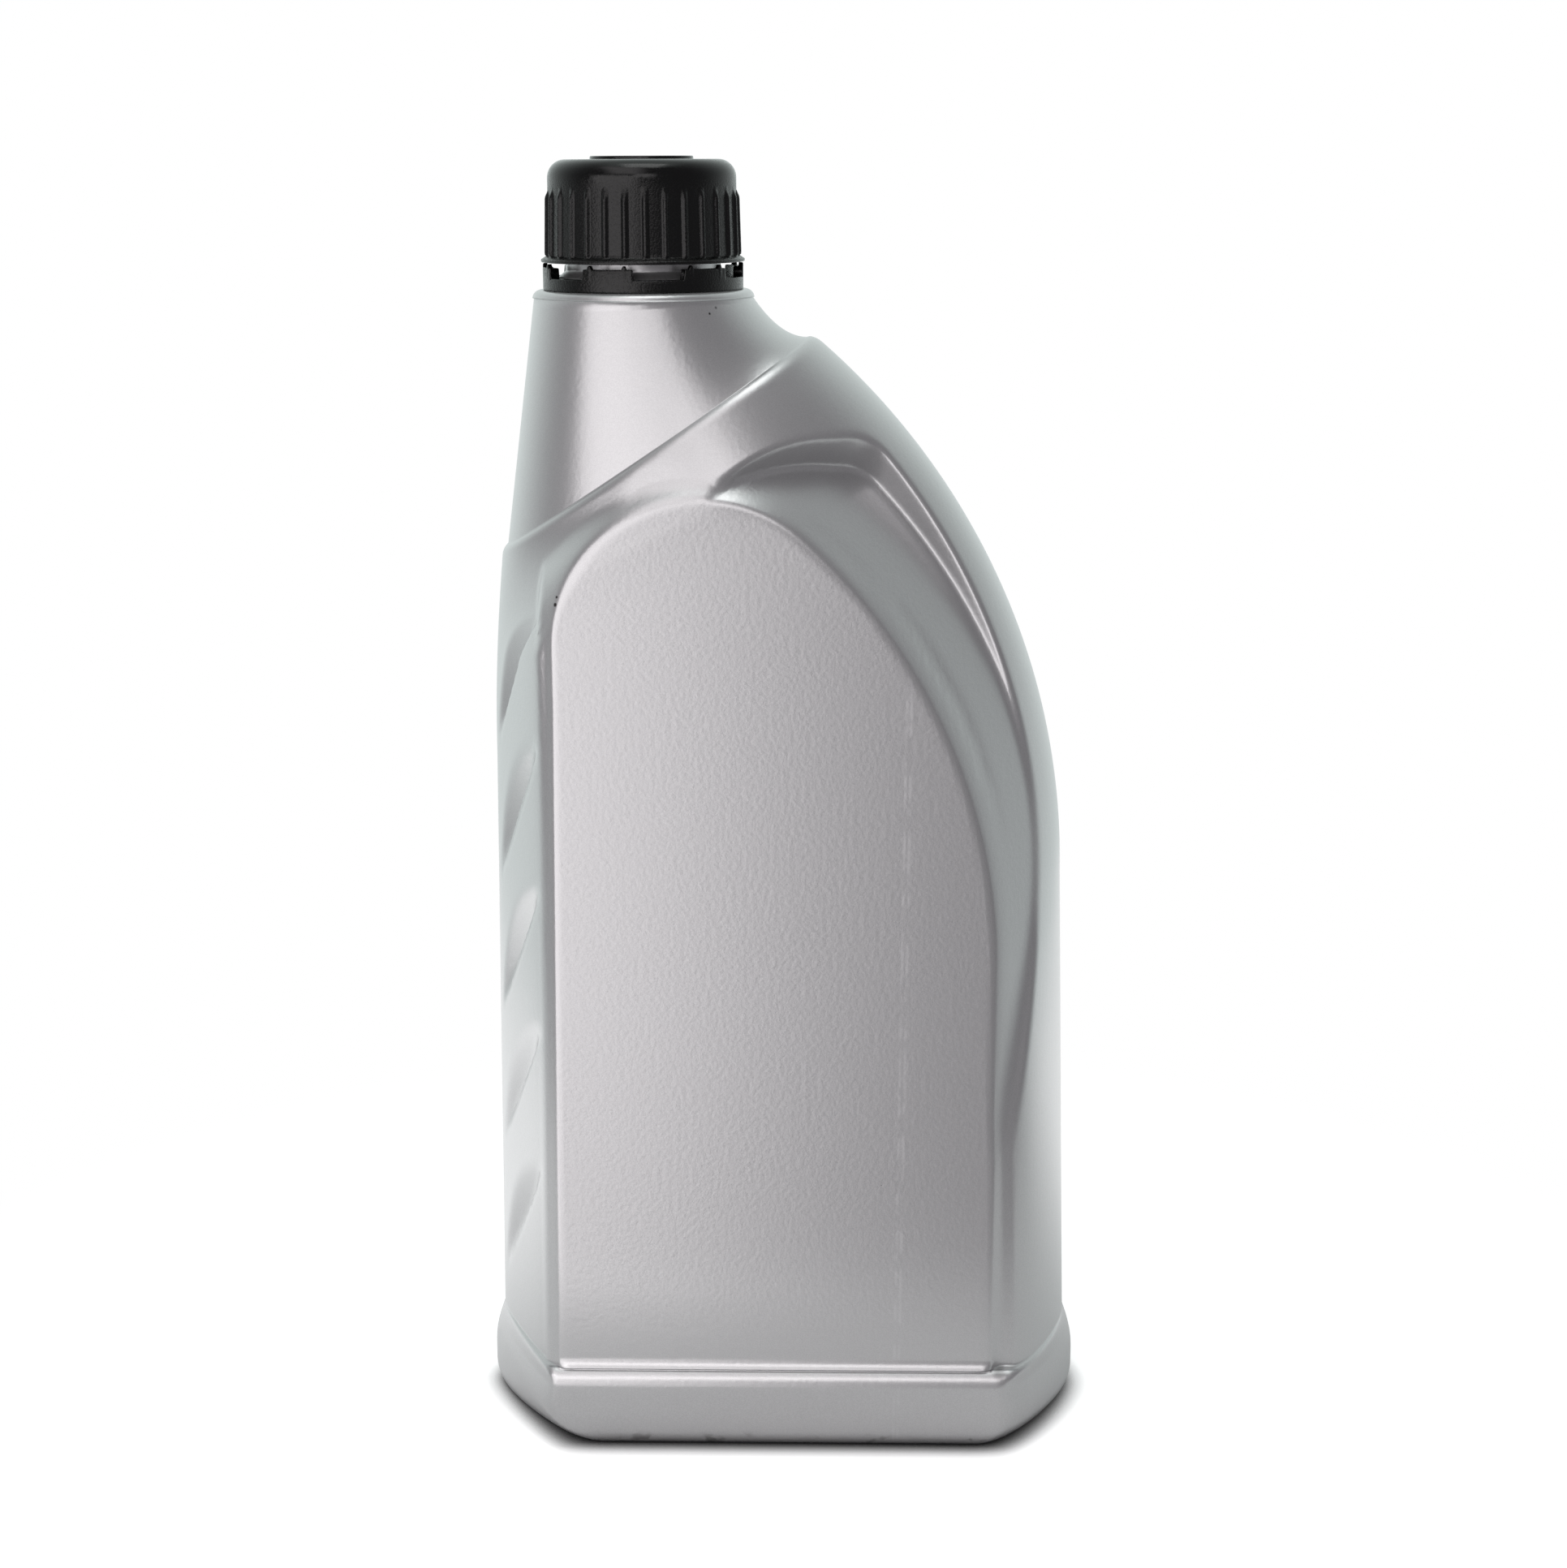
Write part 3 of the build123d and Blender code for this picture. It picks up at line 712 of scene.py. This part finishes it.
ring_angle = np.arctan2(outside[-1, :, 1], outside[-1, :, 0] - neck_x)
neck_angle = ring_angle[::2]
collar_edge = 1.6
neck_fillet = 0.4
bead_edge = 0.3
bead_side = bead_base + 0.4
bead_top = bead_base + 1.4
rim_edge = 0.5
bore_edge = 0.4
bore_end = collar_height - 2.5
thread_rows = 46
collar_profile = np.concatenate((
    [(collar_radius, cone_top + 0.1)],
    arc_points((collar_radius - collar_edge, collar_height - collar_edge), collar_edge, 5, 90, 7),
))
neck_profile = np.concatenate((
    straight((collar_radius - collar_edge, collar_height),
             (neck_radius + neck_fillet, collar_height), 4),
    arc_points((neck_radius + neck_fillet, collar_height + neck_fillet), neck_fillet, 270, 180, 3),
    straight((neck_radius, collar_height + neck_fillet), (neck_radius, bead_base), 1),
    arc_points((bead_radius - bead_edge, bead_base + bead_edge), bead_edge, 270, 360, 3),
    straight((bead_radius, bead_side), (neck_radius, bead_top), 1),
    straight((neck_radius, bead_top), (neck_radius, rim_height - rim_edge), thread_rows),
    arc_points((neck_radius - rim_edge, rim_height - rim_edge), rim_edge, 0, 90, 4),
    arc_points((bore_radius + bore_edge, rim_height - bore_edge), bore_edge, 90, 180, 4),
    straight((bore_radius, rim_height - bore_edge), (bore_radius, bore_end), 3),
))
neck_grid = np.repeat(neck_profile[:, None, :], len(neck_angle), 1)
on_thread = np.abs(neck_profile[:, :1] - neck_radius) < 0.01
neck_grid[..., 0] += thread_depth * on_thread * thread_height(
    neck_angle[None, :], neck_profile[:, 1:], offset=0.0, half_width=1.3, slope_width=0.9)
collar_rings = swept(collar_profile, ring_angle)
neck_rings = swept(neck_grid, neck_angle)
print("neck", neck_rings.shape[:2])

# %% [markdown]
# The wall of a blown bottle is about a millimetre thick. Solidify would copy every face of the
# outside, so the inside is a coarser copy instead, moved in along the normals, and further in behind
# the notches. Underneath, the foot stands on a rim and the base is pushed up, with the straight
# ridge where the mould pinched the tube of plastic shut.

# %% Inside and base
body_wall = 1.0
notch_room = 3.5
push_up = 2.5
rim_width = 9.0
rim_row_shares = np.array((0.35, 0.15))
ceiling_scale = np.array((0.94, 0.87, 0.0))
pinch_half = 27.0
pinch_fade = 7.0
pinch_flanks = (0.2, 1.6)
pinch_rise = 0.5
base_rows = 9
slope_rows = 7
notch_room_x = (43.7, 47.0)
notch_room_low = (18.0, 26.0)
notch_room_high = (172.0, 180.0)
lining_low = 2.0
inner_floor_scale = np.array((0.97, 0.95, 0.0))


def ring_normals(rings):
    """Outward unit normals of closed rings, from differences along columns and rows."""
    across = np.roll(rings, -1, 1) - np.roll(rings, 1, 1)
    up = np.gradient(rings, axis=0)
    normal = np.cross(across, up)
    return normal / np.maximum(np.linalg.norm(normal, axis=-1, keepdims=True), 1e-9)


def base_rings(edge, level, pinch):
    """Rings from a line on the X axis out to the edge ring, pushed up and ridged at the middle."""
    share = np.linspace(0.0, 1.0, base_rows)[:, None]
    limit = np.max(np.abs(edge[:, 0]))
    core_x = edge[:, 0] * (pinch_half / limit)
    x = core_x + share * (edge[:, 0] - core_x)
    y = share * edge[:, 1]
    ridge = pinch * (1 - smooth_step(np.abs(y), *pinch_flanks)) \
        * (1 - smooth_step(np.abs(x), pinch_half - pinch_fade, pinch_half))
    return np.stack((x, y, level - ridge), -1)


foot_ring = outside[0]
hollow_scale = (np.max(foot_ring[:, 0]) - rim_width) / np.max(foot_ring[:, 0])
hollow_depth_scale = (np.max(foot_ring[:, 1]) - rim_width) / np.max(foot_ring[:, 1])
hollow_edge = foot_ring * np.array((hollow_scale, hollow_depth_scale, 0.0))
ceiling_edge = hollow_edge * ceiling_scale + np.array((0, 0, push_up))
turn_up = np.linspace(0.0, 1.0, slope_rows)[:, None, None]
slope = hollow_edge + turn_up * (ceiling_edge - hollow_edge) * np.array((1, 1, 0))
slope[..., 2] = push_up * smooth_step(turn_up[..., 0], 0.0, 1.0)
flat_rim = foot_ring + rim_row_shares[:, None, None] * (hollow_edge - foot_ring)
under = np.concatenate((base_rings(ceiling_edge[::2], push_up, pinch_rise)[:-1],
                        slope[::-1, ::2]))

lining = outside[::3] - body_wall * ring_normals(outside)[::3]
under_notches = smooth_step(-lining[..., 0], *notch_room_x) \
    * smooth_step(lining[..., 2], *notch_room_low) \
    * (1 - smooth_step(lining[..., 2], *notch_room_high))
lining[..., 0] += notch_room * under_notches
lining = lining[lining[:, :, 2].min(1) > lining_low][::-1, ::4]
inner_floor = base_rings(lining[-1] * inner_floor_scale, push_up + body_wall, 0.0)[::-1]

skin = Skin()
under_rows = skin.block(under)
rim_rows = skin.block(np.concatenate((flat_rim, outside, collar_rings)))
neck_rows = skin.block(neck_rings)
lining_rows = skin.block(np.concatenate((lining, inner_floor)))
skin.skin(under_rows)
skin.halve(rim_rows[0], under_rows[-1], upwards=False)
skin.skin(rim_rows)
skin.halve(rim_rows[-1], neck_rows[0])
skin.skin(neck_rows)
skin.halve(neck_rows[-1], lining_rows[0])
skin.skin(lining_rows)
bottle = skin.finish("bottle_shell")
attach(bottle, "bottle")
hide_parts("bottle")

# %% [markdown]
# The cap is a turned profile too: from the middle of its ceiling, down the inside, round the
# flange, up the skirt and over the crown to the raised disc. Ribs made as an array of bars would
# leave hidden faces in the skirt. So the thirty slim ribs are a radial height that depends on the
# angle to the nearest rib, rounded at the top and both ends.

# %% Screw cap
cap_columns = 540
rib_count = 30
rib_half_width = 0.55
rib_height = 0.6
cap_inner = 16.4
cap_radius = 18.2
crown_radius = 17.9
flange_radius = 19.4
disc_radius = 9.8
cap_base = cap_low[2]
cap_peak = cap_high[2]
cap_top = cap_peak - 0.6
ceiling = rim_height + 1.2
crown_base = cap_base + 12.6
crown_edge = 3.4
ceiling_ring = 8.0
ceiling_fillet = 0.5
flange_edge = 0.25
cap_thread_rows = 52
rib_foot = (cap_base + 1.0, cap_base + 1.5)
rib_top = crown_base + 0.5
rib_top_round = 1.2

cap_inside = np.concatenate((
    [(0.0, ceiling), (ceiling_ring, ceiling)],
    arc_points((cap_inner - ceiling_fillet, ceiling - ceiling_fillet), ceiling_fillet, 90, 0, 4),
    straight((cap_inner, ceiling - ceiling_fillet), (cap_inner, cap_base + 0.3), cap_thread_rows),
    [(cap_inner, cap_base + 0.3), (cap_inner + 0.2, cap_base + 0.05)],
))
cap_outside = np.concatenate((
    [(cap_inner + 0.5, cap_base), (flange_radius - 0.6, cap_base)],
    arc_points((flange_radius - flange_edge, cap_base + flange_edge), flange_edge, 270, 360, 4),
    [(flange_radius, cap_base + 0.45), (flange_radius - 0.08, cap_base + 0.58),
     (flange_radius - 0.25, cap_base + 0.68)],
    straight((flange_radius - 0.25, cap_base + 0.68), (cap_radius + 0.3, cap_base + 1.1), 2),
    [(cap_radius + 0.3, cap_base + 1.1), (cap_radius + 0.1, cap_base + 1.22),
     (cap_radius, cap_base + 1.4)],
    straight((cap_radius, cap_base + 1.4), (crown_radius, crown_base), 24),
    straight((crown_radius, crown_base), (crown_radius, cap_top - crown_edge), 3),
    arc_points((crown_radius - crown_edge, cap_top - crown_edge), crown_edge, 0, 90, 14),
    straight((crown_radius - crown_edge, cap_top), (disc_radius + 0.15, cap_top), 3),
    [(disc_radius + 0.15, cap_top), (disc_radius + 0.02, cap_top + 0.06),
     (disc_radius, cap_top + 0.2), (disc_radius, cap_peak - 0.2),
     (disc_radius - 0.06, cap_peak - 0.06), (disc_radius - 0.2, cap_peak)],
    straight((disc_radius - 0.2, cap_peak), (0.0, cap_peak), 4),
    [(0.0, cap_peak)],
))
cap_angle = np.arange(cap_columns) * 2 * np.pi / cap_columns
cap_profile = np.concatenate((cap_inside, cap_outside))
cap_grid = np.repeat(cap_profile[:, None, :], cap_columns, 1)
row_index = np.arange(len(cap_profile))[:, None]
on_inside = (row_index < len(cap_inside)) & (np.abs(cap_profile[:, :1] - cap_inner) < 0.01)
cap_grid[..., 0] -= thread_depth * on_inside * thread_height(
    cap_angle[None, :], cap_profile[:, 1:], offset=0.5, half_width=1.2, slope_width=0.9)

rib_angle = 2 * np.pi / rib_count
off_rib = (cap_angle - rib_angle * np.round(cap_angle / rib_angle)) * cap_radius
rib_shape = np.sqrt(np.clip(1 - (off_rib / rib_half_width)**2, 0.0, 1.0))
on_skirt = (row_index >= len(cap_inside)) & (cap_profile[:, :1] > crown_radius - 0.01)
rib_ends = smooth_step(cap_profile[:, 1:], *rib_foot) \
    * np.sqrt(np.clip((rib_top - cap_profile[:, 1:]) / rib_top_round, 0.0, 1.0))
cap_grid[..., 0] += rib_height * on_skirt * rib_ends * rib_shape[None, :]

skin = Skin()
skin.skin(skin.block(swept(cap_grid, cap_angle)))
cap = skin.finish("cap_moulding")
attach(cap, "cap")
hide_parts("screw_cap")

# %% [markdown]
# The tamper ring is a closed profile swept round the neck. Six windows lower its top edge, and
# twelve slim bridges rise from what is left of it, where the ring was joined to the cap. Windows
# could be cut out by booleans, but a top line that depends on the angle keeps one even grid.

# %% Tamper ring
ring_columns = 720
window_count = 6
window_angle = 30.0
window_start = -92.0
window_depth = 1.9
window_edge = 0.4
bridge_inset = 4.5
bridge_half_flat = 0.25
bridge_half_width = 0.45
bridge_height = 0.7
ring_inner = 17.2
ring_radius = 19.1
lip_radius = 15.3
lip_height = 1.3
ring_edge = 0.25
ring_top = ring_high[2] - bridge_height
ring_turn = np.arange(ring_columns) * 2 * np.pi / ring_columns
window_pitch = 360.0 / window_count
into_window = np.mod(np.degrees(ring_turn) - window_start, window_pitch)
past_edge = np.minimum(into_window, window_angle - into_window)
open_share = smooth_step(past_edge, -window_edge, window_edge)
block_middle = (window_pitch + window_angle) / 2
block_half = (window_pitch - window_angle) / 2
bridge_offset = np.abs(np.abs(into_window - block_middle) - block_half + bridge_inset)
bridge_share = 1 - smooth_step(np.radians(bridge_offset) * ring_radius,
                               bridge_half_flat, bridge_half_width)
top_line = ring_top - window_depth * open_share
bridge_line = top_line + bridge_height * bridge_share

ring_profile = np.concatenate((
    arc_points((ring_radius - ring_edge, collar_height + ring_edge), ring_edge, 270, 360, 4),
    straight((ring_radius, collar_height + ring_edge),
             (ring_radius, ring_top - window_depth - 0.3), 5),
))
top_radii = (ring_radius, ring_radius - 0.07, ring_radius - 0.3, ring_radius - 0.85,
             ring_radius - 0.95, ring_inner + 0.3, ring_inner + 0.07, ring_inner)
top_drops = (0.3, 0.08, 0.0, 0.0, 0.0, 0.0, 0.08, 0.3)
bridge_rows = (1, 1, 1, 1, 0, 0, 0, 0)
outer_part = np.repeat(ring_profile[:, None, :], ring_columns, 1)
top_part = np.stack([np.stack((np.full(ring_columns, radius),
                               np.where(bridge, bridge_line, top_line) - drop), -1)
                     for radius, drop, bridge in zip(top_radii, top_drops, bridge_rows)])
inner_profile = np.array(((ring_inner, collar_height + lip_height + 0.4),
                          (ring_inner - 0.1, collar_height + lip_height + 0.1),
                          (ring_inner - 0.4, collar_height + lip_height),
                          (lip_radius + 0.3, collar_height + lip_height),
                          (lip_radius, collar_height + lip_height - 0.3),
                          (lip_radius, collar_height + 0.3), (lip_radius + 0.3, collar_height)))
inner_part = np.repeat(inner_profile[:, None, :], ring_columns, 1)
ring_grid = np.concatenate((outer_part, top_part, inner_part))
skin = Skin()
ring_rows = skin.block(swept(ring_grid, ring_turn))
skin.skin(np.concatenate((ring_rows, ring_rows[:1])))
ring = skin.finish("ring_moulding")
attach(ring, "bottle")
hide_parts("tamper_ring")


# %% [markdown]
# Finishes are shader trees. Nodes could be added and linked one by one, at four lines for a sum. A
# small class that wraps one socket lets a mask read like arithmetic instead.

# %% Shader arithmetic
class Shade:
    """One output socket of a shader tree, with the operators that masks need."""

    def __init__(self, tree, socket=None):
        """Keeps the tree and, where there is one, the socket."""
        self.tree = tree
        self.socket = socket

    def make(self, kind, settings=None, inputs=None, output=0):
        """Adds a node: its settings first, then the values or links of its sockets."""
        node = self.tree.nodes.new(kind)
        for name, value in (settings or {}).items():
            setattr(node, name, value)
        for name, value in (inputs or {}).items():
            if isinstance(value, Shade):
                self.tree.links.new(value.socket, node.inputs[name])
            else:
                node.inputs[name].default_value = value
        return Shade(self.tree, node.outputs[output] if len(node.outputs) else None)

    def maths(self, operation, first, second=0.0):
        """One operation on two values."""
        return self.make("ShaderNodeMath", {"operation": operation}, {0: first, 1: second})

    def __add__(self, other):
        return self.maths("ADD", self, other)

    def __sub__(self, other):
        return self.maths("SUBTRACT", self, other)

    def __rsub__(self, other):
        return self.maths("SUBTRACT", other, self)

    def __mul__(self, other):
        return self.maths("MULTIPLY", self, other)

    __radd__ = __add__
    __rmul__ = __mul__

    def size(self):
        """The value without its sign."""
        return self.maths("ABSOLUTE", self)

    def parts(self):
        """The three parts of a vector."""
        node = self.make("ShaderNodeSeparateXYZ", None, {0: self}).socket.node
        return [Shade(self.tree, socket) for socket in node.outputs]

    def between(self, start, end):
        """0 at start, 1 at end, S-shaped between them."""
        return self.make("ShaderNodeMapRange", {"interpolation_type": "SMOOTHSTEP"},
                         {"Value": self, "From Min": start, "From Max": end})

    def mix(self, first, second):
        """Colours mixed by this value."""
        return self.make("ShaderNodeMix", {"data_type": "RGBA"},
                         {"Factor": self, 6: first, 7: second}, 2)


def new_finish(name):
    """An empty material and the start of its shader tree."""
    material = bpy.data.materials.new(name)
    material.use_nodes = True
    material.node_tree.nodes.clear()
    return material, Shade(material.node_tree)


def dress(material, shader, *meshes):
    """Joins a shader to its material's output and gives the material to the meshes."""
    shader.make("ShaderNodeOutputMaterial", None, {"Surface": shader})
    for mesh in meshes:
        mesh.materials.clear()
        mesh.materials.append(material)
    print(material.name, "has", len(material.node_tree.nodes), "nodes")


def object_place(start):
    """Object coordinates in metres, as a vector."""
    return start.make("ShaderNodeTexCoord", output="Object")


def places(start):
    """Object coordinates in millimetres: across, through and up."""
    return [part * (1 / METRE) for part in object_place(start).parts()]


def grain(start, scale, detail=2.0):
    """Noise on Object coordinates, centred on one half."""
    return start.make("ShaderNodeTexNoise", None,
                      {"Vector": object_place(start), "Scale": scale, "Detail": detail}, "Fac")


def spot(start, middle, width):
    """A round mark at a point, both in millimetres."""
    metres = tuple(value * METRE for value in middle)
    away = start.make("ShaderNodeVectorMath", {"operation": "DISTANCE"},
                      {0: object_place(start), 1: metres}, "Value")
    return 1 - (away * (1 / METRE)).between(width * 0.5, width)


# %% [markdown]
# The silver plastic is a pigmented moulding with a fine orange peel. Painted images could carry its
# wear, but noise and distances on Object coordinates need no unwrapping and stay sharp. A thin line
# of painted shade darkens the crease over the foot, and another thin dark line marks the parting of
# the mould. Wear is kept as it is: dark specks, a scuff at the collar, smudges on the front of the
# foot and a faint double scratch down the panel. A patch of painted shade darkens the valley beside
# the panel's lower right corner.

# %% Silver plastic
silver_low = (0.58, 0.58, 0.585, 1.0)
silver_high = (0.64, 0.64, 0.645, 1.0)
scratch_tone = (0.85, 0.85, 0.86, 1.0)
seam_and_crease_shade_tone = (0.12, 0.12, 0.13, 1.0)
dirt_and_shade_tone = (0.06, 0.055, 0.055, 1.0)
crease_height = 16.85
scratch_x = 23.0
scratch_slope = 0.0125
scratch_half_gap = 0.45
speck_scale = 75.0
# Place, width and strength of each mark: specks and scuffs, then painted shade by the panel's lower
# right corner
wear_and_shade_marks = (((-40.8, -30.6, 169.2), 0.5, 1.0), ((-40.5, -30.4, 170.6), 0.35, 1.0),
         ((20.2, -29.0, 165.2), 0.6, 1.0), ((-11.9, -17.0, 224.0), 0.7, 1.0),
         ((-11.0, -16.0, 222.6), 0.5, 1.0), ((-12.4, -17.0, 221.4), 0.4, 1.0),
         ((43.3, -30.5, 15.4), 2.4, 0.6))

silver, start = new_finish("silver_plastic")
peel = grain(start, 1000.0)
flake = grain(start, 5200.0, 1.0)
patch = grain(start, 260.0)
across, through, height = places(start)
deep = through.size()
# Painted shade: a thin dark line in the crease at the foot of the front panel
crease_shade = (1 - (height - crease_height).size().between(0.06, 0.2)) * deep.between(30.0, 31.0)
seam = 1 - deep.between(0.05, 0.25)
scratch_line = (across - scratch_x - height * scratch_slope).size() - scratch_half_gap
scratch = (1 - scratch_line.size().between(0.1, 0.4)) * patch.between(0.42, 0.6)
on_front_panel = deep.between(30.6, 30.9) * (1 - height.between(150.0, 156.0)) \
    * (1 - through.between(-1.0, 1.0))
scratch = scratch * on_front_panel
smudge = (1 - height.between(1.5, 4.5)) * patch.between(0.58, 0.72) * deep.between(24.0, 28.0)
cells = start.make("ShaderNodeTexVoronoi", None,
                   {"Vector": object_place(start), "Scale": speck_scale}, "Distance")
specks = 1 - cells.between(0.012, 0.022)
# Smudges, specks and scuffs are dirt and wear; the last mark is painted shade in the valley by the
# panel's corner
dirt_and_shade = start.maths("MAXIMUM", smudge * 0.5, specks * 0.75)
for middle, width, strength in wear_and_shade_marks:
    dirt_and_shade = start.maths("MAXIMUM", dirt_and_shade, spot(start, middle, width) * strength)
bump = start.make("ShaderNodeBump", None,
                  {"Strength": 0.1, "Distance": 0.0003, "Height": peel + flake * 0.12 - seam * 0.5})
roughness = 0.29 + flake * 0.05 + scratch * 0.06
tone = flake.between(0.3, 0.7).mix(silver_low, silver_high)
tone = (scratch * 0.16).mix(tone, scratch_tone)
# Painted shade in the crease, and a thin dark line on the mould's parting
tone = start.maths("MAXIMUM", crease_shade * 0.6, seam * 0.25).mix(tone, seam_and_crease_shade_tone)
tone = dirt_and_shade.mix(tone, dirt_and_shade_tone)
shader = start.make("ShaderNodeBsdfPrincipled", None, {
    "Base Color": tone, "Metallic": 0.8, "Roughness": roughness, "Normal": bump,
    "Coat Weight": 0.15, "Coat Roughness": 0.25})
dress(silver, shader, bottle.data)

# %% [markdown]
# Cap and ring are moulded in black with a fine grain, and the crown is smoother. The grain is far
# finer than any mesh, so it isn't modelled: noise tilts the normal and roughens the gloss, and both
# fade out towards the crown.

# %% Black plastic
black_tone = (0.0005, 0.0005, 0.0005, 1.0)
crown_heights = (243.5, 247.5)
black, start = new_finish("black_plastic")
speckle = grain(start, 2800.0)
crown = places(start)[2].between(*crown_heights)
bump = start.make("ShaderNodeBump", None,
                  {"Strength": 0.35, "Distance": 0.0002, "Height": speckle * (1 - crown)})
roughness = 0.23 + speckle.between(0.45, 0.6) * 0.12 - crown * 0.1
shader = start.make("ShaderNodeBsdfPrincipled", None, {
    "Base Color": black_tone, "Roughness": roughness, "Normal": bump, "Specular IOR Level": 0.42})
dress(black, shader, cap.data, ring.data)

# %% [markdown]
# The liner is a disc of white foam that the cap hides. Its solid already has all the shape that a
# plain disc needs, so that mesh stays and only gets a matt finish.

# %% White liner
liner_tone = (0.82, 0.82, 0.80, 1.0)
liner, start = new_finish("white_liner")
shader = start.make("ShaderNodeBsdfPrincipled", None, {"Base Color": liner_tone, "Roughness": 0.7})
dress(liner, shader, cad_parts["seal_wad"].data)

# %% [markdown]
# The bottle stands on a white table. A plain white plane would turn grey where the light falls off,
# so away from the bottle the camera sees pure white. Near the foot the table is a matt surface that
# also glows, and ambient occlusion paints the contact shadow, the dark line where the two touch, into
# its colour and its glow.

# %% Floor
floor_side = 0.25
floor_front = -0.1
floor_back = 0.45
contact_reach = 0.0045
contact_shadow_tone = (0.0, 0.0, 0.002, 1.0)
table_tone = (0.8, 0.8, 0.8, 1.0)
white_distances = (0.09, 0.22)
floor_mesh = bpy.data.meshes.new("floor")
floor_mesh.from_pydata([(-floor_side, floor_front, 0), (floor_side, floor_front, 0),
                        (floor_side, floor_back, 0), (-floor_side, floor_back, 0)],
                       [], [(0, 1, 2, 3)])
floor = bpy.data.objects.new("floor", floor_mesh)
bpy.context.scene.collection.objects.link(floor)
table, start = new_finish("white_table")
is_camera = start.make("ShaderNodeLightPath", output="Is Camera Ray")
place = object_place(start)
away = start.make("ShaderNodeVectorMath", {"operation": "LENGTH"}, {0: place}, "Value")
contact = start.make("ShaderNodeAmbientOcclusion", {"samples": 8},
                     {"Distance": contact_reach}, "AO")
# Painted contact shadow: ambient occlusion darkens the table's colour and glow where the foot touches
table_and_contact_shadow = contact.between(0.1, 0.85).mix(contact_shadow_tone, table_tone)
floor_x, floor_y = place.parts()[:2]
behind = (floor_y - floor_x * 0.25).between(-0.02, 0.12)
strength = contact * contact * start.maths("MAXIMUM", is_camera * 0.6, behind * 0.65)
matt = start.make("ShaderNodeBsdfDiffuse", None, {"Color": table_and_contact_shadow})
glow = start.make("ShaderNodeEmission", None, {"Strength": strength})
near = start.make("ShaderNodeAddShader", None, {0: matt, 1: glow})
white = start.make("ShaderNodeEmission", None, {"Strength": 1.0})
both = start.make("ShaderNodeMixShader", None,
                  {"Fac": is_camera * away.between(*white_distances), 1: near, 2: white})
dress(table, both, floor_mesh)

# %% [markdown]
# The studio is white all round, dimmer on the camera's side, with a bright patch high at the left.
# Walls and cards could be modelled, but a world colour that depends on the direction gives the same
# reflections and no shadows of its own. The camera itself sees white.

# %% Surround
low_wall = (0.92, 1.0, 0.985, 1.0)
high_wall = (0.8, 0.88, 0.86, 1.0)
dim_wall = (0.2, 0.195, 0.205, 1.0)
bright_patch = (1.35, 1.3, 1.32, 1.0)
plain_white = (1.0, 1.0, 1.0, 1.0)
world = bpy.data.worlds.new("surround")
bpy.context.scene.world = world
world.use_nodes = True
world.node_tree.nodes.clear()
start = Shade(world.node_tree)
is_camera = start.make("ShaderNodeLightPath", output="Is Camera Ray")
dir_x, dir_y, dir_z = start.make("ShaderNodeTexCoord", output="Generated").parts()
overhead = dir_z.between(0.85, 0.98)
window = dir_z.between(0.3, 0.55) * (1 - dir_z.between(0.85, 0.97)) \
    * (1 - dir_y.between(-0.3, 0.1)) * dir_x.between(-0.65, -0.4) * (1 - dir_x.between(-0.1, 0.2))
to_front = (1 - (dir_y - dir_x * 0.05).between(-0.3, 1.0)) * (1 - overhead)
wall = dir_z.between(0.0, 0.4).mix(low_wall, high_wall)
wall = to_front.mix(wall, dim_wall)
wall = window.mix(wall, bright_patch)
colour = is_camera.mix(wall, plain_white)
back = start.make("ShaderNodeBackground", None, {"Color": colour, "Strength": 1.0})
start.make("ShaderNodeOutputWorld", None, {"Surface": back})
print("surround has", len(world.node_tree.nodes), "nodes")

# %% [markdown]
# Three soft boxes light the bottle: a big one at the front left for the panel, a small high one for
# the shoulder and one overhead. Point lamps would leave hard spots on the satin plastic, so they are
# area lamps, at a level where a colour renders about as it is written.

# %% Lights
warm_white = (1.0, 0.965, 0.975)
top_white = (1.0, 0.99, 0.99)


def soft_light(name, place, target, size, power, colour):
    """A rectangular lamp at a place, its face square to the line to the target."""
    lamp = bpy.data.lights.new(name, "AREA")
    lamp.shape = "RECTANGLE"
    lamp.size, lamp.size_y = size
    lamp.energy = power
    lamp.color = colour
    back = np.array(place) - np.array(target)
    back = back / np.linalg.norm(back)
    side = np.cross((0.0, 0.0, 1.0), back)
    side = side / np.linalg.norm(side)
    stand(bpy.data.objects.new(name, lamp), place, side, np.cross(back, side), back)
    print(name, power, "W")


soft_light("front_left_light", (-0.29, -0.47, 0.09), (0.0, 0.0, 0.12), (0.58, 0.65), 1.6, warm_white)
soft_light("front_high_light", (0.06, -0.62, 0.43), (-0.02, 0.0, 0.2), (0.26, 0.2), 0.22, warm_white)
soft_light("overhead_light", (0.0, -0.1, 0.9), (0.0, 0.0, 0.1), (0.34, 0.34), 0.6, top_white)
